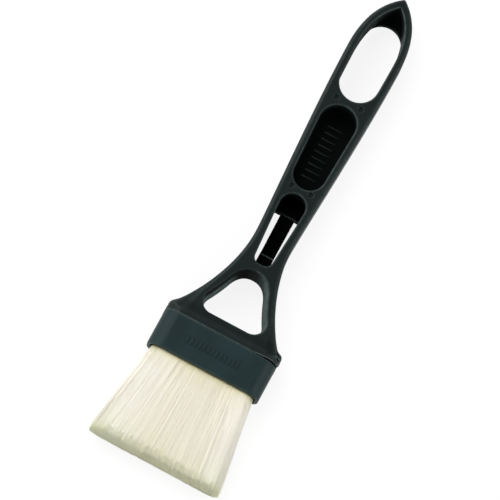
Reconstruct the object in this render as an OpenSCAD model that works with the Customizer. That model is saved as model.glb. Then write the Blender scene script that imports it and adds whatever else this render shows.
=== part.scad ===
// Flat brush with an open moulded handle, a snap-on ferrule and a glued bristle pack.
// It lies on its back: +Z is the front, +Y runs to the handle's tip and X is across.
// Heights along the handle are measured from the seam between handle and ferrule.

/* [Ferrule] */
// Outside width of the ferrule
ferrule_w = 51; // [44:0.5:60]
// Outside thickness of the ferrule
ferrule_t = 16; // [14.5:0.25:20]
// Length of the ferrule
ferrule_len = 16; // [14:0.5:24]
// Wall of the ferrule
ferrule_wall = 1.75; // [1.2:0.05:2.2]
// Outside corner radius of the ferrule
ferrule_r = 6.5; // [4:0.25:7]
// Width of the snap tab at each end of the ferrule
tab_w = 5; // [3:0.25:7]
// Height of the snap tabs above the seam
tab_h = 2.2; // [1.5:0.1:2.8]
// Thickness of the snap tabs
tab_t = 1.5; // [1:0.1:2]
// How far the snap tabs stand out of the ferrule's ends
tab_proud = 0.1; // [0.1:0.1:0.8]
// Number of plain ribs on the ferrule's front
ferrule_ribs = 13; // [5:1:17]
// Pitch of the ribs on the ferrule's front
ferrule_rib_pitch = 1.9; // [1.4:0.1:2.2]
// Length of the ribs on the ferrule's front
ferrule_rib_len = 3.2; // [2:0.1:5]

/* [Handle outline] */
// Height of the flange that meets the ferrule
flange_len = 3.3; // [3:0.1:5]
// Height of the shoulder above the flange
shoulder_len = 3.5; // [2.5:0.1:5]
// How far the shoulder steps in on each side
shoulder_step = 2.7; // [2:0.1:4]
// Width of the handle at its waist
waist_w = 16.8; // [14:0.2:20]
// Height of the waist above the clip window's lower end
waist_up = 11.6; // [9:0.2:16]
// Greatest width of the grip
grip_w = 24.1; // [21:0.1:28]
// Height of the widest place above the loop's lower end
widest_up = 22; // [16:0.2:26]
// Thickness of the arms and the grip
handle_t = 12; // [11:0.25:13.5]
// Thickness at the tip
tip_t = 10.5; // [9.5:0.25:11]
// Rounding of the handle's long edges
edge_r = 1.6; // [0.6:0.1:2]
// Rounding of the tip in plan
nose_r = 1; // [0.8:0.1:1.8]
// Length over which the arms keep their lean above the shoulder
arm_bend_low = 6; // [4:0.5:9]
// Length over which the arms run into the waist
arm_bend_high = 15.5; // [10:0.5:18]
// Length over which the waist runs into the grip
grip_bend_low = 10; // [5:0.5:20]
// Length over which the grip runs into its widest place
grip_bend_high = 32; // [15:1:45]
// Length over which the widest place runs into the nose
nose_bend_low = 16.5; // [10:0.5:19]
// Length over which the nose keeps its slope below the tip
nose_bend_high = 4; // [2:0.5:6]

/* [Openings in the handle] */
// Height of the sill under the yoke opening
sill_len = 6.3; // [4.8:0.05:8]
// Height of the yoke opening
yoke_len = 24.8; // [21:0.05:30]
// Width of each arm beside the yoke opening
arm_w = 4.4; // [3.2:0.1:5.4]
// Corner radius at the foot of the yoke opening
yoke_r = 5.3; // [2.5:0.1:5.5]
// Bridge between the yoke opening and the clip window
lower_bridge = 3.7; // [3:0.1:6]
// Wall between the yoke opening and the recess for the tongue's end
recess_wall = 1.7; // [1.2:0.1:2]
// Length of the clip window
window_len = 33.5; // [30:0.5:40]
// Wall beside the upper end of the clip window
window_rim_top = 3.9; // [3:0.1:4.4]
// Half width of the clip window's lower end
window_half_low = 3.7; // [3.4:0.1:4.6]
// Corner radius at the lower end of the clip window
window_r_low = 3; // [1.5:0.1:3.3]
// Bridge between the clip window and the panel pocket
middle_bridge = 3.2; // [2.8:0.1:6]
// Length of the panel pocket
panel_len = 39.7; // [32:0.1:50]
// Wall beside the upper end of the panel pocket
panel_rim_top = 3.6; // [2.6:0.1:4.4]
// Wall beside the lower end of the panel pocket
panel_rim_low = 2.7; // [2.2:0.1:3.6]
// Bridge between the panel pocket and the hanging loop
upper_bridge = 3.5; // [2.4:0.1:6]
// Length of the hanging loop's through opening
loop_len = 38.8; // [30:0.1:48]
// Length of the pocket between the loop and the tip
tip_pocket_len = 7.5; // [5.5:0.1:9]
// Wall at the tip, along the handle
tip_wall = 3.6; // [2.6:0.1:5]
// Wall beside the hanging loop
loop_rim = 3.4; // [2.2:0.1:3.8]
// Thickness of the floor of the pockets
floor_t = 2.2; // [1.8:0.1:3]
// Diameter of the small dimples in the bridges
dimple_d = 2.2; // [1.2:0.1:2.6]
// Depth of the dimples
dimple_depth = 0.8; // [0.2:0.05:0.8]
// Distance of the dimples' centres below the opening above them
dimple_drop = 0.8; // [0.4:0.1:1.2]
// Distance between the two upper dimples
dimple_gap_top = 11.3; // [9:0.1:13]
// Distance between the two lower dimples
dimple_gap_low = 8.8; // [8:0.1:11]
// Number of plain ribs on the panel's floor
panel_ribs = 9; // [4:1:10]
// Pitch of the ribs on the panel's floor
panel_rib_pitch = 3; // [2:0.1:3.2]
// Length of the ribs on the panel's floor
panel_rib_len = 7; // [4:0.1:8]
// Height of the plain ribs on the panel and the ferrule
rib_h = 0.4; // [0.2:0.05:0.8]
// Width of the plain ribs
rib_w = 0.8; // [0.5:0.1:1.2]

/* [Clip tongue] */
// Length of the plate above the tongue's root
plate_len = 8.6; // [7:0.1:11]
// Width of the tongue at its root
tongue_w_root = 6.2; // [5:0.1:7]
// Width of the tongue above its head
tongue_w_neck = 5.8; // [4.4:0.1:6]
// Width of the tongue's head
tongue_w_head = 6.1; // [5:0.1:6.2]
// Thickness of the tongue
tongue_t = 2; // [1.6:0.1:2.4]
// How far the tongue reaches behind the lower bridge
tongue_overlap = 0.9; // [0.5:0.1:2]
// Length of the tongue's head
head_len = 7.5; // [5:0.1:9]
// Height of the ridge on the head
ridge_h = 0.8; // [0.4:0.1:1.2]
// Gap between the tongue and the lower bridge
clip_gap = 1.9; // [1.2:0.1:2.6]
// Clearance of the tongue's round root in its seat
root_clearance = 0.06; // [0.04:0.01:0.09]

/* [Bristle pack] */
// Free length of the bristles below the ferrule
bristle_len = 42.7; // [30:0.1:60]
// Width of the bristles at their ends
tip_spread_w = 59.2; // [48:0.2:66]
// Thickness of the bristles at their ends
tip_spread_t = 14.5; // [12:0.1:15.6]
// Depth of the handle's foot in the ferrule
foot_len = 5; // [3:0.1:6]
// Depth of the hardened glue below the foot
setting_len = 3; // [2:0.1:4]
// Depth of the glued root of each bristle bank
root_len = 2; // [1.5:0.1:2.5]
// Thickness of the two spacer plugs
plug_t = 1.8; // [1.2:0.1:2.2]
// Length of the two spacer plugs
plug_len = 5.5; // [3.5:0.1:5.9]
// Distance of the plugs' ends from the ferrule's inner ends
plug_margin = 1.8; // [1.2:0.1:4]
// Clearance between the glued pack and the ferrule
pack_clearance = 0.1; // [0.05:0.05:0.3]
// Clearance between the foot or the tabs and what they fit
snap_clearance = 0.15; // [0.05:0.05:0.3]
// Drawn thickness of a strand at its root
strand_root_d = 0.8; // [0.5:0.02:0.84]
// Drawn thickness of a strand at its middle
strand_mid_d = 1.1; // [0.7:0.02:1.16]
// Clear space between the strands and the spacer plugs
strand_clearance = 0.2; // [0.15:0.05:0.4]
// Drawn thickness of a strand at its end
strand_end_d = 0.8; // [0.4:0.02:1.2]
// Number of strands in a row across the brush
strand_columns = 34; // [26:1:36]
// How unevenly the strands end
strand_ragged = 1.6; // [0:0.1:3]

/* [Hidden] */
plastic = [0.15, 0.19, 0.19];
pocket_plastic = [0.09, 0.11, 0.11];
cream = [0.94, 0.91, 0.83];
glue = [0.72, 0.58, 0.32];
wood = [0.76, 0.62, 0.43];
$fn = 64;
eps = 0.01;
cut = 20;
rows_per_bank = 4;
corner_steps = 4;
flare = 1.35;

// Heights along the handle, from the seam
yoke_low = sill_len;
yoke_top = yoke_low + yoke_len;
window_low = yoke_top + lower_bridge;
window_top = window_low + window_len;
panel_low = window_top + middle_bridge;
panel_top = panel_low + panel_len;
loop_low = panel_top + upper_bridge;
loop_top = loop_low + loop_len;
pocket_top = loop_top + tip_pocket_len;
handle_len = pocket_top + tip_wall;
shoulder_y = flange_len + shoulder_len;
waist_y = window_low + waist_up;
widest_y = loop_low + widest_up;
root_y = window_top - plate_len;
tongue_end_y = window_low - tongue_overlap;
pack_end = ferrule_len + bristle_len;
seam_y = (pack_end - handle_len) / 2;

// Heights through the thickness, from the surface that the brush lies on
mid_z = ferrule_t / 2;
back_z = mid_z - handle_t / 2;
front_z = mid_z + handle_t / 2;
floor_z = back_z + floor_t;
tongue_z = floor_z - floor_t / 2;
bore_t = ferrule_t - 2 * ferrule_wall;
bore_w = ferrule_w - 2 * ferrule_wall;
bore_r = ferrule_r - ferrule_wall;

// A point of the cubic curve through four control points
function curve(p, t) = pow(1 - t, 3) * p[0] + 3 * t * pow(1 - t, 2) * p[1]
    + 3 * t * t * (1 - t) * p[2] + pow(t, 3) * p[3];
function curve_points(p, n, first = 0) = [for (i = [first:n]) curve(p, i / n)];

// The handle's half outline as [height, half width], from the flange to the tip
shoulder_half = ferrule_w / 2 - shoulder_step;
arm_slope = 0.88;
nose_slope = 1.25;
skin_inset = 0.02;
nose_y = handle_len - nose_r * 0.6;
shoulder_curve = [[flange_len, ferrule_w / 2], [flange_len + 1.4, ferrule_w / 2],
    [shoulder_y - 1.1, shoulder_half + 1.1], [shoulder_y, shoulder_half]];
arm_curve = [[shoulder_y, shoulder_half],
    [shoulder_y + arm_bend_low, shoulder_half - arm_bend_low * arm_slope],
    [waist_y - arm_bend_high, waist_w / 2], [waist_y, waist_w / 2]];
grip_curve = [[waist_y, waist_w / 2], [waist_y + grip_bend_low, waist_w / 2],
    [widest_y - grip_bend_high, grip_w / 2], [widest_y, grip_w / 2]];
nose_curve = [[widest_y, grip_w / 2], [widest_y + nose_bend_low, grip_w / 2],
    [nose_y - nose_bend_high, nose_r + nose_bend_high * nose_slope], [nose_y, nose_r]];
nose_tip = [handle_len, nose_r * 0.25];
outline = concat(curve_points(shoulder_curve, 4), curve_points(arm_curve, 10, 1),
    curve_points(grip_curve, 8, 1), curve_points(nose_curve, 10, 1), [nose_tip]);

function half_width(y) = lookup(y, outline);
shoulder_run = 7;
shoulder_t = 1.3;
shoulder_r = 2.6;
function section_t(y) = lookup(y, [[flange_len, ferrule_t], [shoulder_y, handle_t + shoulder_t],
    [shoulder_y + shoulder_run, handle_t], [widest_y, handle_t], [handle_len, tip_t]]);
function section_r(y) = lookup(y, [[flange_len, ferrule_r], [shoulder_y, edge_r + shoulder_r],
    [shoulder_y + shoulder_run, edge_r], [handle_len, edge_r]]);

// One cross-section of the handle: a rectangle with rounded corners, across the handle
function section(y, inset) = let(
        w = half_width(y) - inset,
        t = section_t(y) / 2 - inset,
        r = min(section_r(y), w * 0.9, t * 0.9))
    [for (corner = [0:3], i = [0:corner_steps]) let(a = 90 * (corner + i / corner_steps))
        [(w - r) * (corner == 0 || corner == 3 ? 1 : -1) + r * cos(a), y,
         mid_z + (t - r) * (corner < 2 ? 1 : -1) + r * sin(a)]];

// A closed solid through a list of rings with equal numbers of points
module loft(rings) {
    n = len(rings[0]);
    last = len(rings) - 1;
    sides = [for (i = [0:last - 1], j = [0:n - 1], half = [0, 1]) let(
            a = i * n + j, b = i * n + (j + 1) % n, c = a + n, d = b + n)
        half == 0 ? [a, b, c] : [b, d, c]];
    ends = [[for (j = [n - 1:-1:0]) j], [for (j = [0:n - 1]) last * n + j]];
    polyhedron(points = [for (ring = rings) each ring], faces = concat(sides, ends));
}

// A rounded rectangle, and the same as a bar that runs along the handle
module rounded(w, t, r) {
    square([w - 2 * r, t], center = true);
    square([w, t - 2 * r], center = true);
    for (x = [-1, 1], z = [-1, 1])
        translate([x * (w / 2 - r), z * (t / 2 - r)]) circle(r);
}

module bar(w, t, r, low, high) {
    translate([0, high, mid_z]) rotate([90, 0, 0])
        linear_extrude(height = high - low) rounded(w, t, r);
}

// A plan shape cut or raised between two heights through the thickness
module plate(low, high) {
    translate([0, 0, low]) linear_extrude(height = high - low) children();
}

module mirrored() {
    children();
    mirror([1, 0, 0]) children();
}

module handle_plan() {
    right = [for (p = outline) [p[1], p[0]]];
    left = [for (i = [len(outline) - 1:-1:0]) [-outline[i][1], outline[i][0]]];
    polygon(concat(right, left));
}

// The yoke opening: its sides follow the arms, its head is an arch and its feet are rounded
arch_rise = 6.5;
arch_lean = 4;
arch_half = 4.2;
function side_point(y) = [half_width(y) - arm_w, y];
function side_slope(y) = half_width(y - 1) - half_width(y);
module yoke_plan() {
    lean = atan(side_slope(yoke_low + 2 * yoke_r));
    foot_y = yoke_low + yoke_r * (1 + sin(lean));
    foot_x = side_point(foot_y)[0] - yoke_r * cos(lean);
    foot = [for (i = [0:8]) let(a = -90 + (90 + lean) * i / 8)
        [foot_x + yoke_r * cos(a), yoke_low + yoke_r * (1 + sin(a))]];
    top_y = yoke_top - arch_rise;
    top = side_point(top_y);
    side = [for (i = [1:6]) side_point(foot_y + (top_y - foot_y) * i / 6)];
    arch = curve_points([top, [top[0] - arch_lean * side_slope(top_y), top[1] + arch_lean],
        [arch_half, yoke_top], [0, yoke_top]], 8, 1);
    right = concat(foot, side, arch);
    left = [for (i = [len(right) - 2:-1:0]) [-right[i][0], right[i][1]]];
    polygon(concat(right, left));
}

module window_plan() {
    r = half_width(window_top) - window_rim_top;
    hull() {
        translate([0, window_top - r]) circle(r);
        mirrored() translate([window_half_low - window_r_low, window_low + window_r_low])
            circle(window_r_low);
    }
}

module panel_plan() {
    top_r = half_width(panel_top) - panel_rim_top;
    low_r = half_width(panel_low) - panel_rim_low;
    hull() {
        translate([0, panel_top - top_r]) circle(top_r);
        translate([0, panel_low + low_r]) circle(low_r);
    }
}

// The hanging loop: an end with the given centre height keeps the rim's width
module loop_end(y, way) {
    r = half_width(y) - loop_rim;
    translate([0, y]) circle(r);
    translate([-grip_w, way > 0 ? y : y - cut * 5]) square([2 * grip_w, cut * 5]);
}

loop_low_y = loop_low + half_width(loop_low + grip_w / 3) - loop_rim;
loop_top_y = loop_top - half_width(loop_top - grip_w / 3) + loop_rim;
module loop_plan() {
    intersection() {
        offset(delta = -loop_rim) handle_plan();
        loop_end(loop_low_y, 1);
        loop_end(loop_top_y, -1);
    }
}

module tip_pocket_plan() {
    intersection() {
        offset(delta = -loop_rim) handle_plan();
        translate([-grip_w, loop_low_y]) square([2 * grip_w, pocket_top - loop_low_y]);
    }
}

module dimples(gap, y) {
    sphere_r = (dimple_d * dimple_d / 4 + dimple_depth * dimple_depth) / (2 * dimple_depth);
    mirrored() translate([gap / 2, y, front_z + sphere_r - dimple_depth]) sphere(sphere_r);
}

// Play at each end of the tongue's round root
root_side = 0.3;

module handle() {
    color(plastic) translate([0, seam_y, 0]) {
        difference() {
            union() {
                bar(ferrule_w, ferrule_t, ferrule_r, 0, flange_len);
                bar(bore_w - 2 * snap_clearance, bore_t - 2 * snap_clearance,
                    bore_r - snap_clearance, -foot_len, eps);
                loft(concat(
                    [section(flange_len, skin_inset) - [for (i = [0:4 * corner_steps + 3]) [0, 1, 0]]],
                    [for (p = outline) section(p[0], skin_inset)]));
            }
            plate(-cut, cut * 2) yoke_plan();
            plate(floor_z, cut * 2) window_plan();
            intersection() {
                plate(-cut, cut * 2) window_plan();
                translate([-cut, root_y - cut * 5, -cut]) cube([cut * 2, cut * 5, cut * 3]);
            }
            translate([-tongue_w_root / 2 - root_side, root_y, tongue_z]) rotate([0, 90, 0])
                cylinder(r = tongue_t / 2 + root_clearance, h = tongue_w_root + 2 * root_side);
            translate([-window_half_low, yoke_top + recess_wall, -cut])
                cube([window_half_low * 2, lower_bridge - recess_wall + window_r_low,
                    cut + floor_z + clip_gap]);
            plate(floor_z, cut * 2) panel_plan();
            plate(-cut, cut * 2) loop_plan();
            plate(floor_z, cut * 2) tip_pocket_plan();
            dimples(dimple_gap_top, loop_low - dimple_drop);
            dimples(dimple_gap_low, panel_low - dimple_drop);
            mirrored() translate([ferrule_w / 2 - tab_t - snap_clearance, -eps,
                    mid_z - tab_w / 2 - snap_clearance])
                cube([cut, tab_h + snap_clearance, tab_w + 2 * snap_clearance]);
        }
        for (i = [0:panel_ribs - 1])
            translate([-panel_rib_len / 2, (panel_low + panel_top - rib_w) / 2
                    + (i - (panel_ribs - 1) / 2) * panel_rib_pitch, floor_z - eps])
                cube([panel_rib_len, rib_w, rib_h + eps]);
    }
}

// The ridge on the tongue's head: half widths of its foot and crest, and how far it is sunk in
ridge_foot = 0.7;
ridge_crest = 0.15;
ridge_sink = 0.6;

module clip_tongue() {
    neck_y = tongue_end_y + head_len;
    color(pocket_plastic) translate([0, seam_y, 0]) {
        translate([-tongue_w_root / 2, root_y, tongue_z]) rotate([0, 90, 0])
            cylinder(r = tongue_t / 2, h = tongue_w_root);
        plate(tongue_z - tongue_t / 2, tongue_z + tongue_t / 2) {
            polygon([[-tongue_w_root / 2, root_y], [tongue_w_root / 2, root_y],
                [tongue_w_neck / 2, neck_y], [-tongue_w_neck / 2, neck_y]]);
            translate([-tongue_w_head / 2, tongue_end_y]) square([tongue_w_head, head_len + eps]);
        }
        translate([-tongue_w_neck / 2, neck_y - ridge_foot, tongue_z + tongue_t / 2 - ridge_sink])
            rotate([0, 90, 0]) linear_extrude(height = tongue_w_neck)
            polygon([[0, -ridge_foot], [0, ridge_foot],
                [-ridge_sink - ridge_h, ridge_crest], [-ridge_sink - ridge_h, -ridge_crest]]);
    }
}

module ferrule() {
    color(plastic) translate([0, seam_y, 0]) {
        difference() {
            bar(ferrule_w, ferrule_t, ferrule_r, -ferrule_len, 0);
            bar(bore_w, bore_t, bore_r, -ferrule_len - 1, 1);
        }
        mirrored() translate([ferrule_w / 2 - tab_t, -tab_h, mid_z - tab_w / 2])
            cube([tab_t + tab_proud, 2 * tab_h, tab_w]);
        for (i = [0:ferrule_ribs - 1])
            translate([(i - (ferrule_ribs - 1) / 2) * ferrule_rib_pitch - rib_w / 2,
                    -ferrule_len / 2 - ferrule_rib_len / 2, ferrule_t - eps])
                cube([rib_w, ferrule_rib_len, rib_h + eps]);
    }
}

// The pack inside the ferrule
pack_w = bore_w - 2 * pack_clearance;
pack_t = bore_t - 2 * pack_clearance;
pack_r = bore_r - pack_clearance;
setting_y = -foot_len - setting_len;
bank_t = (pack_t - 2 * plug_t) / 3;
bank_pitch = bank_t + plug_t;

module glue_setting() {
    color(glue) translate([0, seam_y, 0]) bar(pack_w, pack_t, pack_r, setting_y, -foot_len);
}

module spacer_plug(way) {
    w = bore_w - 2 * plug_margin;
    color(wood) translate([-w / 2, seam_y + setting_y - plug_len, mid_z + way * bank_pitch / 2 - plug_t / 2])
        cube([w, plug_len, plug_t]);
}

// Half the pack's width at a height z from its middle
function pack_half(z) = let(over = max(0, abs(z) - pack_t / 2 + pack_r))
    pack_w / 2 - pack_r + sqrt(max(0, pack_r * pack_r - over * over));

// One strand as three rings of three points; u and v run from -1 to 1 across the pack
strand_y = setting_y - root_len;
function strand_z_root(bank, row) = bank * bank_pitch
    + (row - (rows_per_bank - 1) / 2) * (bank_t - 2 * strand_clearance) / rows_per_bank;
function strand_z_tip(bank, row) = let(k = (bank + 1) * rows_per_bank + row)
    (k / (3 * rows_per_bank - 1) - 0.5) * (tip_spread_t - strand_end_d);
function strand_ring(at, d) = [for (a = [90:120:330]) at + d / 2 * [cos(a), 0, sin(a) - 0.25]];
function strand_points(bank, row, col, ragged) = let(
        u = 2 * (col + (row % 2) / 2) / (strand_columns - 0.5) - 1,
        z0 = strand_z_root(bank, row),
        x0 = u * (pack_half(z0) - strand_root_d),
        z1 = strand_z_tip(bank, row),
        x1 = u * (tip_spread_w - strand_end_d) / 2 * (1 - 0.02 * pow(2 * z1 / tip_spread_t, 2)),
        long = pack_end + strand_y - ragged)
    [for (s = [[0, strand_root_d], [0.5, strand_mid_d], [1, strand_end_d]]) let(f = pow(s[0], flare))
        each strand_ring([x0 + (x1 - x0) * f, strand_y + (s[0] == 0 ? 0.5 : 0) - long * s[0],
            mid_z + z0 + (z1 - z0) * f], s[1])];
strand_faces = [[0, 1, 2], [6, 8, 7],
    for (i = [0, 3], j = [0:2]) each [[i + j, i + 3 + j, i + (j + 1) % 3],
        [i + (j + 1) % 3, i + 3 + j, i + 3 + (j + 1) % 3]]];

module bristles(bank) {
    ragged = rands(0, strand_ragged, strand_columns * rows_per_bank, 7 + bank);
    strands = [for (row = [0:rows_per_bank - 1], col = [0:strand_columns - 1])
        strand_points(bank, row, col, ragged[row * strand_columns + col])];
    color(cream) translate([0, seam_y, 0]) {
        intersection() {
            bar(pack_w, pack_t, pack_r, strand_y, setting_y);
            translate([-pack_w, strand_y, mid_z + bank * bank_pitch - bank_t / 2])
                cube([2 * pack_w, root_len, bank_t]);
        }
        polyhedron(points = [for (s = strands) each s],
            faces = [for (k = [0:len(strands) - 1], f = strand_faces) [for (i = f) i + 9 * k]]);
    }
}

handle();
clip_tongue();
ferrule();
glue_setting();
spacer_plug(1);  // spacer_plug_front
spacer_plug(-1);  // spacer_plug_back
bristles(1);  // bristles_front
bristles(0);  // bristles_middle
bristles(-1);  // bristles_back
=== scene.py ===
"""Dressed model of a flat brush with an open moulded handle, a snap-on ferrule and pale bristles.

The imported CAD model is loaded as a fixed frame. Every moulding is drawn again as a smooth skin
round its solid, the bristle banks are drawn as fine filaments, and what is hidden in the ferrule
keeps its CAD shape under a better finish. Lengths in the classes are millimetres, measured along
the brush from the seam between handle and ferrule, across it from its middle line, and up from
the surface that it lies on.
"""

from __future__ import annotations

import logging
import math
from dataclasses import dataclass, field, replace
from enum import Enum
from typing import Any, Iterable, Sequence

import bmesh
import bpy
import numpy as np
from bpy.types import Material, Mesh, Node, NodeSocket, NodeTree, Object
from mathutils import Matrix, Vector

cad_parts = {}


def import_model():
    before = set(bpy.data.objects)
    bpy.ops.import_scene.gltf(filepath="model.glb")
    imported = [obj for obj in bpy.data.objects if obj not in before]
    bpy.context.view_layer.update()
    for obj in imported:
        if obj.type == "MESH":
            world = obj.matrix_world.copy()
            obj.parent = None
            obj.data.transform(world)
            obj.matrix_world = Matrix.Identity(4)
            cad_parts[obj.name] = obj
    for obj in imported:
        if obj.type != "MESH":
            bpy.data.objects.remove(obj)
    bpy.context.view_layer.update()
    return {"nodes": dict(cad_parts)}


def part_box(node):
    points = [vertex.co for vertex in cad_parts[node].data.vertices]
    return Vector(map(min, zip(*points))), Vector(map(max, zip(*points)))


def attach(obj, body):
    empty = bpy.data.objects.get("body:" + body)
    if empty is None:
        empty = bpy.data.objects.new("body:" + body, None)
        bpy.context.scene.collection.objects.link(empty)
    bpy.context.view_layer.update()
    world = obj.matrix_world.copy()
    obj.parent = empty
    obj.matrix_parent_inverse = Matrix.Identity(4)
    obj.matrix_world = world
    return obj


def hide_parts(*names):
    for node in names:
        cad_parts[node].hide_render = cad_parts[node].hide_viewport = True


log = logging.getLogger("brush")

MM = 0.001
BODY_BRUSH = "brush"
BODY_CLIP = "clip"
Array = np.ndarray
Point = tuple[float, float]
Triple = tuple[float, float, float]
Places = tuple[Array, Array, Array]


# ---- Small tools: colours, nodes and pattern sizes ----


def linear(hex_colour: str) -> tuple[float, float, float, float]:
    """Turn an sRGB hex colour to the linear values that a shader takes.

    Args:
        hex_colour: Six hex digits, with or without a leading #.

    Returns:
        Red, green, blue and alpha, linear.
    """
    digits = hex_colour.lstrip("#")
    values = [int(digits[i : i + 2], 16) / 255 for i in (0, 2, 4)]
    parts = [v / 12.92 if v <= 0.04045 else ((v + 0.055) / 1.055) ** 2.4 for v in values]
    return parts[0], parts[1], parts[2], 1.0


def per_metre(size_mm: float) -> float:
    """Give the scale that makes a pattern's features size_mm across on Object coordinates."""
    return 1.0 / (size_mm * MM)


def add_node(
    tree: NodeTree,
    kind: str,
    inputs: dict[Any, Any] | None = None,
    **settings: Any,
) -> Node:
    """Add one node with its settings, and its inputs as values or links.

    Args:
        tree: The node tree that gets the node.
        kind: The node's type name.
        inputs: Input name or index to a plain value, or to a socket or wire to link from.
        **settings: Properties of the node.

    Returns:
        The new node.
    """
    node = tree.nodes.new(kind)
    for name, value in settings.items():
        setattr(node, name, value)
    for key, value in (inputs or {}).items():
        value = value.socket if isinstance(value, Wire) else value
        if isinstance(value, NodeSocket):
            tree.links.new(value, node.inputs[key])
        else:
            node.inputs[key].default_value = value
    return node


@dataclass(frozen=True)
class Wire:
    """A node's output, which plain arithmetic takes further in the same tree."""

    tree: NodeTree
    socket: NodeSocket

    def solve(self, operation: str, *values: float | Wire) -> Wire:
        """Work out one operation in the tree.

        Args:
            operation: The operation's name on a Math node.
            *values: What it works on, in order.

        Returns:
            The result.
        """
        inputs = dict(enumerate(values))
        node = add_node(self.tree, "ShaderNodeMath", inputs, operation=operation)
        return Wire(self.tree, node.outputs[0])

    def __add__(self, other: float | Wire) -> Wire:
        """Give the sum."""
        return self.solve("ADD", self, other)

    def __sub__(self, other: float | Wire) -> Wire:
        """Give the difference."""
        return self.solve("SUBTRACT", self, other)

    def __rsub__(self, other: float) -> Wire:
        """Give a plain number less this wire's."""
        return self.solve("SUBTRACT", other, self)

    def __mul__(self, other: float | Wire) -> Wire:
        """Give the product."""
        return self.solve("MULTIPLY", self, other)

    def __truediv__(self, other: float | Wire) -> Wire:
        """Give the quotient."""
        return self.solve("DIVIDE", self, other)

    def __mod__(self, other: float | Wire) -> Wire:
        """Give the remainder."""
        return self.solve("MODULO", self, other)

    def __pow__(self, other: float) -> Wire:
        """Give a power."""
        return self.solve("POWER", self, other)

    def __abs__(self) -> Wire:
        """Give the size without its sign."""
        return self.solve("ABSOLUTE", self)


def set_ramp(node: Node, stops: Sequence[tuple[float, tuple[float, ...]]]) -> None:
    """Give a Color Ramp its stops.

    Args:
        node: The Color Ramp node.
        stops: Position and linear colour of each stop, in order.
    """
    elements = node.color_ramp.elements
    while len(elements) < len(stops):
        elements.new(0.5)
    for element, (position, colour) in zip(elements, stops):
        element.position = position
        element.color = colour


def new_material(name: str) -> tuple[Material, NodeTree, Node]:
    """Make an empty node material with a Principled shader on its output.

    Args:
        name: The material's name.

    Returns:
        The material, its node tree and the Principled node.
    """
    material = bpy.data.materials.new(name)
    material.use_nodes = True
    tree = material.node_tree
    tree.nodes.clear()
    shader = add_node(tree, "ShaderNodeBsdfPrincipled")
    add_node(tree, "ShaderNodeOutputMaterial", {"Surface": shader.outputs["BSDF"]})
    return material, tree, shader


def dress(obj: Object, material: Material) -> None:
    """Put one material on every face of an object."""
    obj.data.materials.clear()
    obj.data.materials.append(material)


def vertex_places(mesh: Mesh) -> Array:
    """Read where a mesh's vertices are.

    Args:
        mesh: The mesh.

    Returns:
        One row of x, y and z in metres for each vertex.
    """
    places = np.zeros(3 * len(mesh.vertices), np.float32)
    mesh.vertices.foreach_get("co", places)
    return places.reshape(-1, 3)


def read_values(mesh: Mesh, name: str) -> Array:
    """Read an attribute that holds one number for each vertex.

    Args:
        mesh: The mesh.
        name: The attribute's name.

    Returns:
        The numbers, in the vertices' order.
    """
    values = np.zeros(len(mesh.vertices), np.float32)
    mesh.attributes[name].data.foreach_get("value", values)
    return values


def store_values(mesh: Mesh, name: str, values: Array) -> None:
    """Store one number for each vertex, in a new attribute or over what one holds.

    Args:
        mesh: The mesh.
        name: The attribute's name.
        values: The numbers, in the vertices' order.
    """
    store = mesh.attributes.get(name) or mesh.attributes.new(name, "FLOAT", "POINT")
    store.data.foreach_set("value", np.asarray(values, np.float32))


def dress_by_depth(obj: Object, shades: Sequence[Material]) -> None:
    """Give each face the step of painted shade that suits how far into an opening it lies.

    Args:
        obj: An object whose mesh has the attribute "deep", from 0 to 1.
        shades: Materials for evenly spaced depths, the open faces' first.
    """
    mesh = obj.data
    mesh.materials.clear()
    for material in shades:
        mesh.materials.append(material)
    corners = np.zeros(len(mesh.loops), np.int32)
    mesh.loops.foreach_get("vertex_index", corners)
    starts = np.zeros(len(mesh.polygons), np.int32)
    mesh.polygons.foreach_get("loop_start", starts)
    sizes = np.diff(np.append(starts, len(corners)))
    mean = np.add.reduceat(read_values(mesh, "deep")[corners], starts) / sizes
    steps = np.rint(mean * (len(shades) - 1)).astype(np.int32)
    mesh.polygons.foreach_set("material_index", steps)


# ---- Finishes ----


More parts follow.
